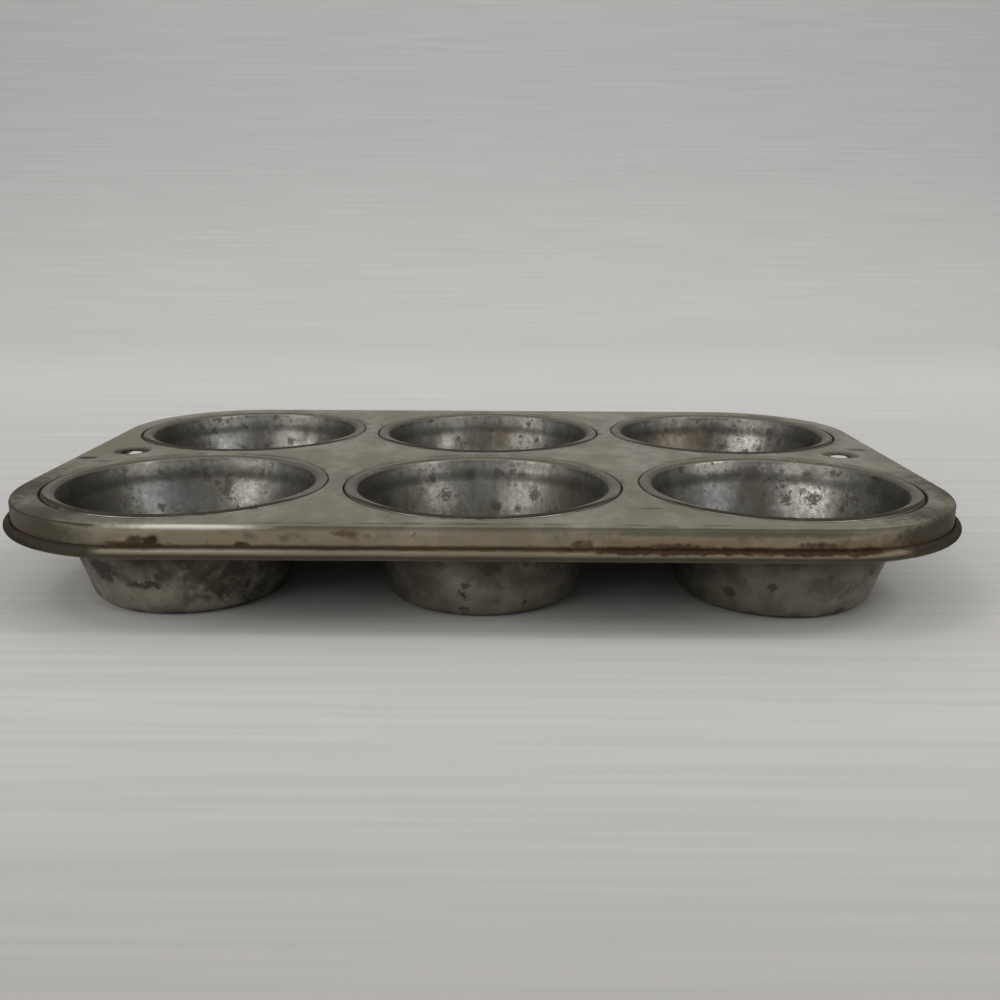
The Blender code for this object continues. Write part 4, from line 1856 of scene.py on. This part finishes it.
@dataclass(frozen=True)
class Lamp:
    """One soft lamp, in metres.

    Attributes:
        name: Its name.
        place: Where it stands.
        aim: The point that it faces.
        size: How wide and how high it is.
        brightness: How bright its face looks.
        tint: The colour of its light.
    """

    name: str
    place: Place
    aim: Place
    size: tuple[float, float]
    brightness: float
    tint: Colour = (1.0, 1.0, 1.0)

    def build(self) -> bpy.types.Object:
        """Builds the lamp, which looks as bright as a surface of its brightness.

        Returns:
            The lamp's object.
        """
        light = bpy.data.lights.new(self.name, "AREA")
        light.shape = "RECTANGLE"
        light.size, light.size_y = self.size
        light.energy = self.brightness * math.pi * self.size[0] * self.size[1]
        light.color = self.tint
        obj = linked(self.name, light)
        obj.location = self.place
        turn = (Vector(self.aim) - Vector(self.place)).to_track_quat("-Z", "Y")
        obj.rotation_euler = turn.to_euler()
        return obj


@dataclass(frozen=True)
class Viewpoint:
    """The camera.

    Attributes:
        place: Where it stands, in millimetres.
        yaw: How far it is turned to the side, in radians.
        pitch: How far it looks down, in radians.
        roll: How far it is tilted, in radians.
        focal_share: Its focal length as a share of the sensor's width.
        sensor: The sensor's width, in millimetres.
        near: The nearest that it sees, in metres.
    """

    place: Place = (6.13, -334.04, 99.04)
    yaw: float = -0.0043
    pitch: float = 0.24465
    roll: float = 0.005
    focal_share: float = 1.05103
    sensor: float = 36.0
    near: float = 0.01

    def build(self) -> bpy.types.Object:
        """Builds the camera and makes it the scene's own.

        Returns:
            The camera's object.
        """
        camera = bpy.data.cameras.new("camera")
        camera.sensor_width = self.sensor
        camera.lens = self.focal_share * self.sensor
        camera.clip_start = self.near
        obj = linked("camera", camera)
        facing = Matrix.Rotation(-self.yaw, 4, "Z")
        dipped = Matrix.Rotation(math.pi / 2 - self.pitch, 4, "X")
        rolled = Matrix.Rotation(self.roll, 4, "Z")
        place = Matrix.Translation(Vector(self.place) * MM)
        obj.matrix_world = place @ facing @ dipped @ rolled
        bpy.context.scene.camera = obj
        return obj


@dataclass(frozen=True)
class Studio:
    """A pale sweep of paper under soft lamps, in metres.

    Attributes:
        lamps: The lamps.
        world: How bright the world is.
        half_width: Half of the paper's width.
        front: Where the paper ends in front of the pan.
        back: Where it stands upright behind the pan.
        bend: The radius of the bend between floor and backdrop.
        height: How high it stands.
        far: The paper's colour high on the backdrop, darkened as painted shade.
        bright: Its colour behind the pan, lightened as painted light.
        middle: Its colour beside the pan.
        near: Its colour in front of the pan, darkened as painted shade.
        streak: The colour of its streaks.
        sky: The world's colour.
    """

    lamps: tuple[Lamp, ...] = (
        Lamp("left_box", (-1.15, -0.9, 0.85), (0.0, 0.0, 0.0), (1.1, 1.1), 3.1),
        Lamp("right_box", (1.25, -0.8, 0.9), (0.0, 0.0, 0.0), (1.1, 1.1), 1.9),
        Lamp("wall_wash", (0.0, 0.35, 1.75), (0.0, 1.35, 1.45), (2.4, 0.6), 4.4),
        Lamp("left_low", (-0.39, -0.92, 0.48), (-0.07, -0.088, 0.03), (0.13, 0.22), 3.1),
        Lamp("left_top", (-0.40, -0.40, 0.90), (-0.07, -0.06, 0.02), (0.24, 0.24), 5.0),
        Lamp("right_top", (0.67, -0.385, 0.92), (0.05, 0.0, 0.02), (0.3, 0.3), 9.0),
        Lamp("top_box", (0.0, -0.75, 1.4), (0.0, 0.0, 0.0), (1.8, 1.3), 0.5),
    )
    world: float = 0.27
    half_width: float = 3.0
    front: float = -2.0
    back: float = 1.3
    bend: float = 0.6
    height: float = 2.2
    far: Colour = (0.42, 0.418, 0.41)
    bright: Colour = (0.665, 0.65, 0.625)
    middle: Colour = (0.575, 0.563, 0.54)
    near: Colour = (0.445, 0.43, 0.403)
    streak: Colour = (0.2, 0.2, 0.2)
    sky: Colour = (0.97, 0.985, 1.0)

    def paper(self, effects: Effects) -> Material:
        """The pale paper, faintly streaked from side to side, with painted light and shade that
        change with its distance.

        Args:
            effects: The shared effects.

        Returns:
            The material.
        """
        w = Surface("pale_paper", effects)
        reach = w.plus(w.axis(w.place, "Y"), w.axis(w.place, "Z"))
        streaks = w.mottle(0.28, 0.3, 0.7, 4.0, (0.025, 1.0, 1.0))
        colour = w.layered(w.blend, self.near, (
            (w.eased(reach, -240.0, -110.0), self.middle),
            (w.eased(reach, 100.0, 420.0), self.bright),
            (w.eased(reach, 420.0, 1650.0), self.far),
            (w.times(streaks, 0.14), self.streak)))
        return w.finish({"Base Color": colour, "Roughness": 0.85, "Specular IOR Level": 0.2})

    def sweep(self, effects: Effects) -> bpy.types.Object:
        """The floor and the backdrop, one sheet with a soft bend between them.

        Args:
            effects: The shared effects.

        Returns:
            The sheet's object.
        """
        line = [(self.front, 0.0)] + arc(
            (self.back - self.bend, self.bend), self.bend, -90.0, 0.0, 40) + [
            (self.back, self.height)]
        points = [(x, y, z) for x in (-self.half_width, self.half_width) for y, z in line]
        count = len(line)
        mesh = bpy.data.meshes.new("floor")
        mesh.from_pydata(points, [], [(k, k + count, k + count + 1, k + 1)
                                      for k in range(count - 1)])
        mesh.shade_smooth()
        mesh.materials.append(self.paper(effects))
        return linked("floor", mesh)

    def build(self, effects: Effects) -> None:
        """Builds the lamps, the world, the floor and the camera.

        Args:
            effects: The shared effects.
        """
        for lamp in self.lamps:
            lamp.build()
        world = bpy.data.worlds.new("studio_world")
        bpy.context.scene.world = world
        world.use_nodes = True
        background = world.node_tree.nodes["Background"]
        background.inputs["Color"].default_value = _rgba(self.sky)
        background.inputs["Strength"].default_value = self.world
        self.sweep(effects)
        Viewpoint().build()
        bpy.context.scene.view_settings.view_transform = "Standard"


def clear_startup() -> None:
    """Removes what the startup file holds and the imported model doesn't."""
    kept = set(frame["nodes"].values()) | set(frame["bodies"].values())
    for obj in list(bpy.data.objects):
        if obj not in kept:
            bpy.data.objects.remove(obj)


def dress(obj: bpy.types.Object, node: str) -> None:
    """Makes a finished piece stand for a node and ride with the pan.

    Args:
        obj: The finished piece.
        node: The CAD node that it replaces.
    """
    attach(obj, "root")
    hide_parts(node)
    LOG.info("%s stands for %s with %d faces", obj.name, node, len(obj.data.polygons))


def main() -> None:
    """Dresses the pan piece by piece and sets the studio."""
    logging.basicConfig(level=logging.INFO, format="%(name)s: %(message)s")
    clear_startup()
    effects = Effects()
    pan = PanFrame()
    underside = UndersideTin().build(effects)
    dress(pan.build(FrameTin().build(effects), underside), "pan_frame")
    dress(EdgeWire().build(pan, WireSteel().build(effects)), "rim_wire")
    inside = CupInsideTin().build(effects)
    outside = CupOutsideTin().build(effects)
    tree = None
    for seed, (name, centre) in enumerate(pan.layout.places().items()):
        cup = Cup(name, centre, float(seed))
        tree = tree or cup.tree(inside)
        dress(cup.build(tree, outside), name)
    Studio().build(effects)


if __name__ == "__main__":
    main()
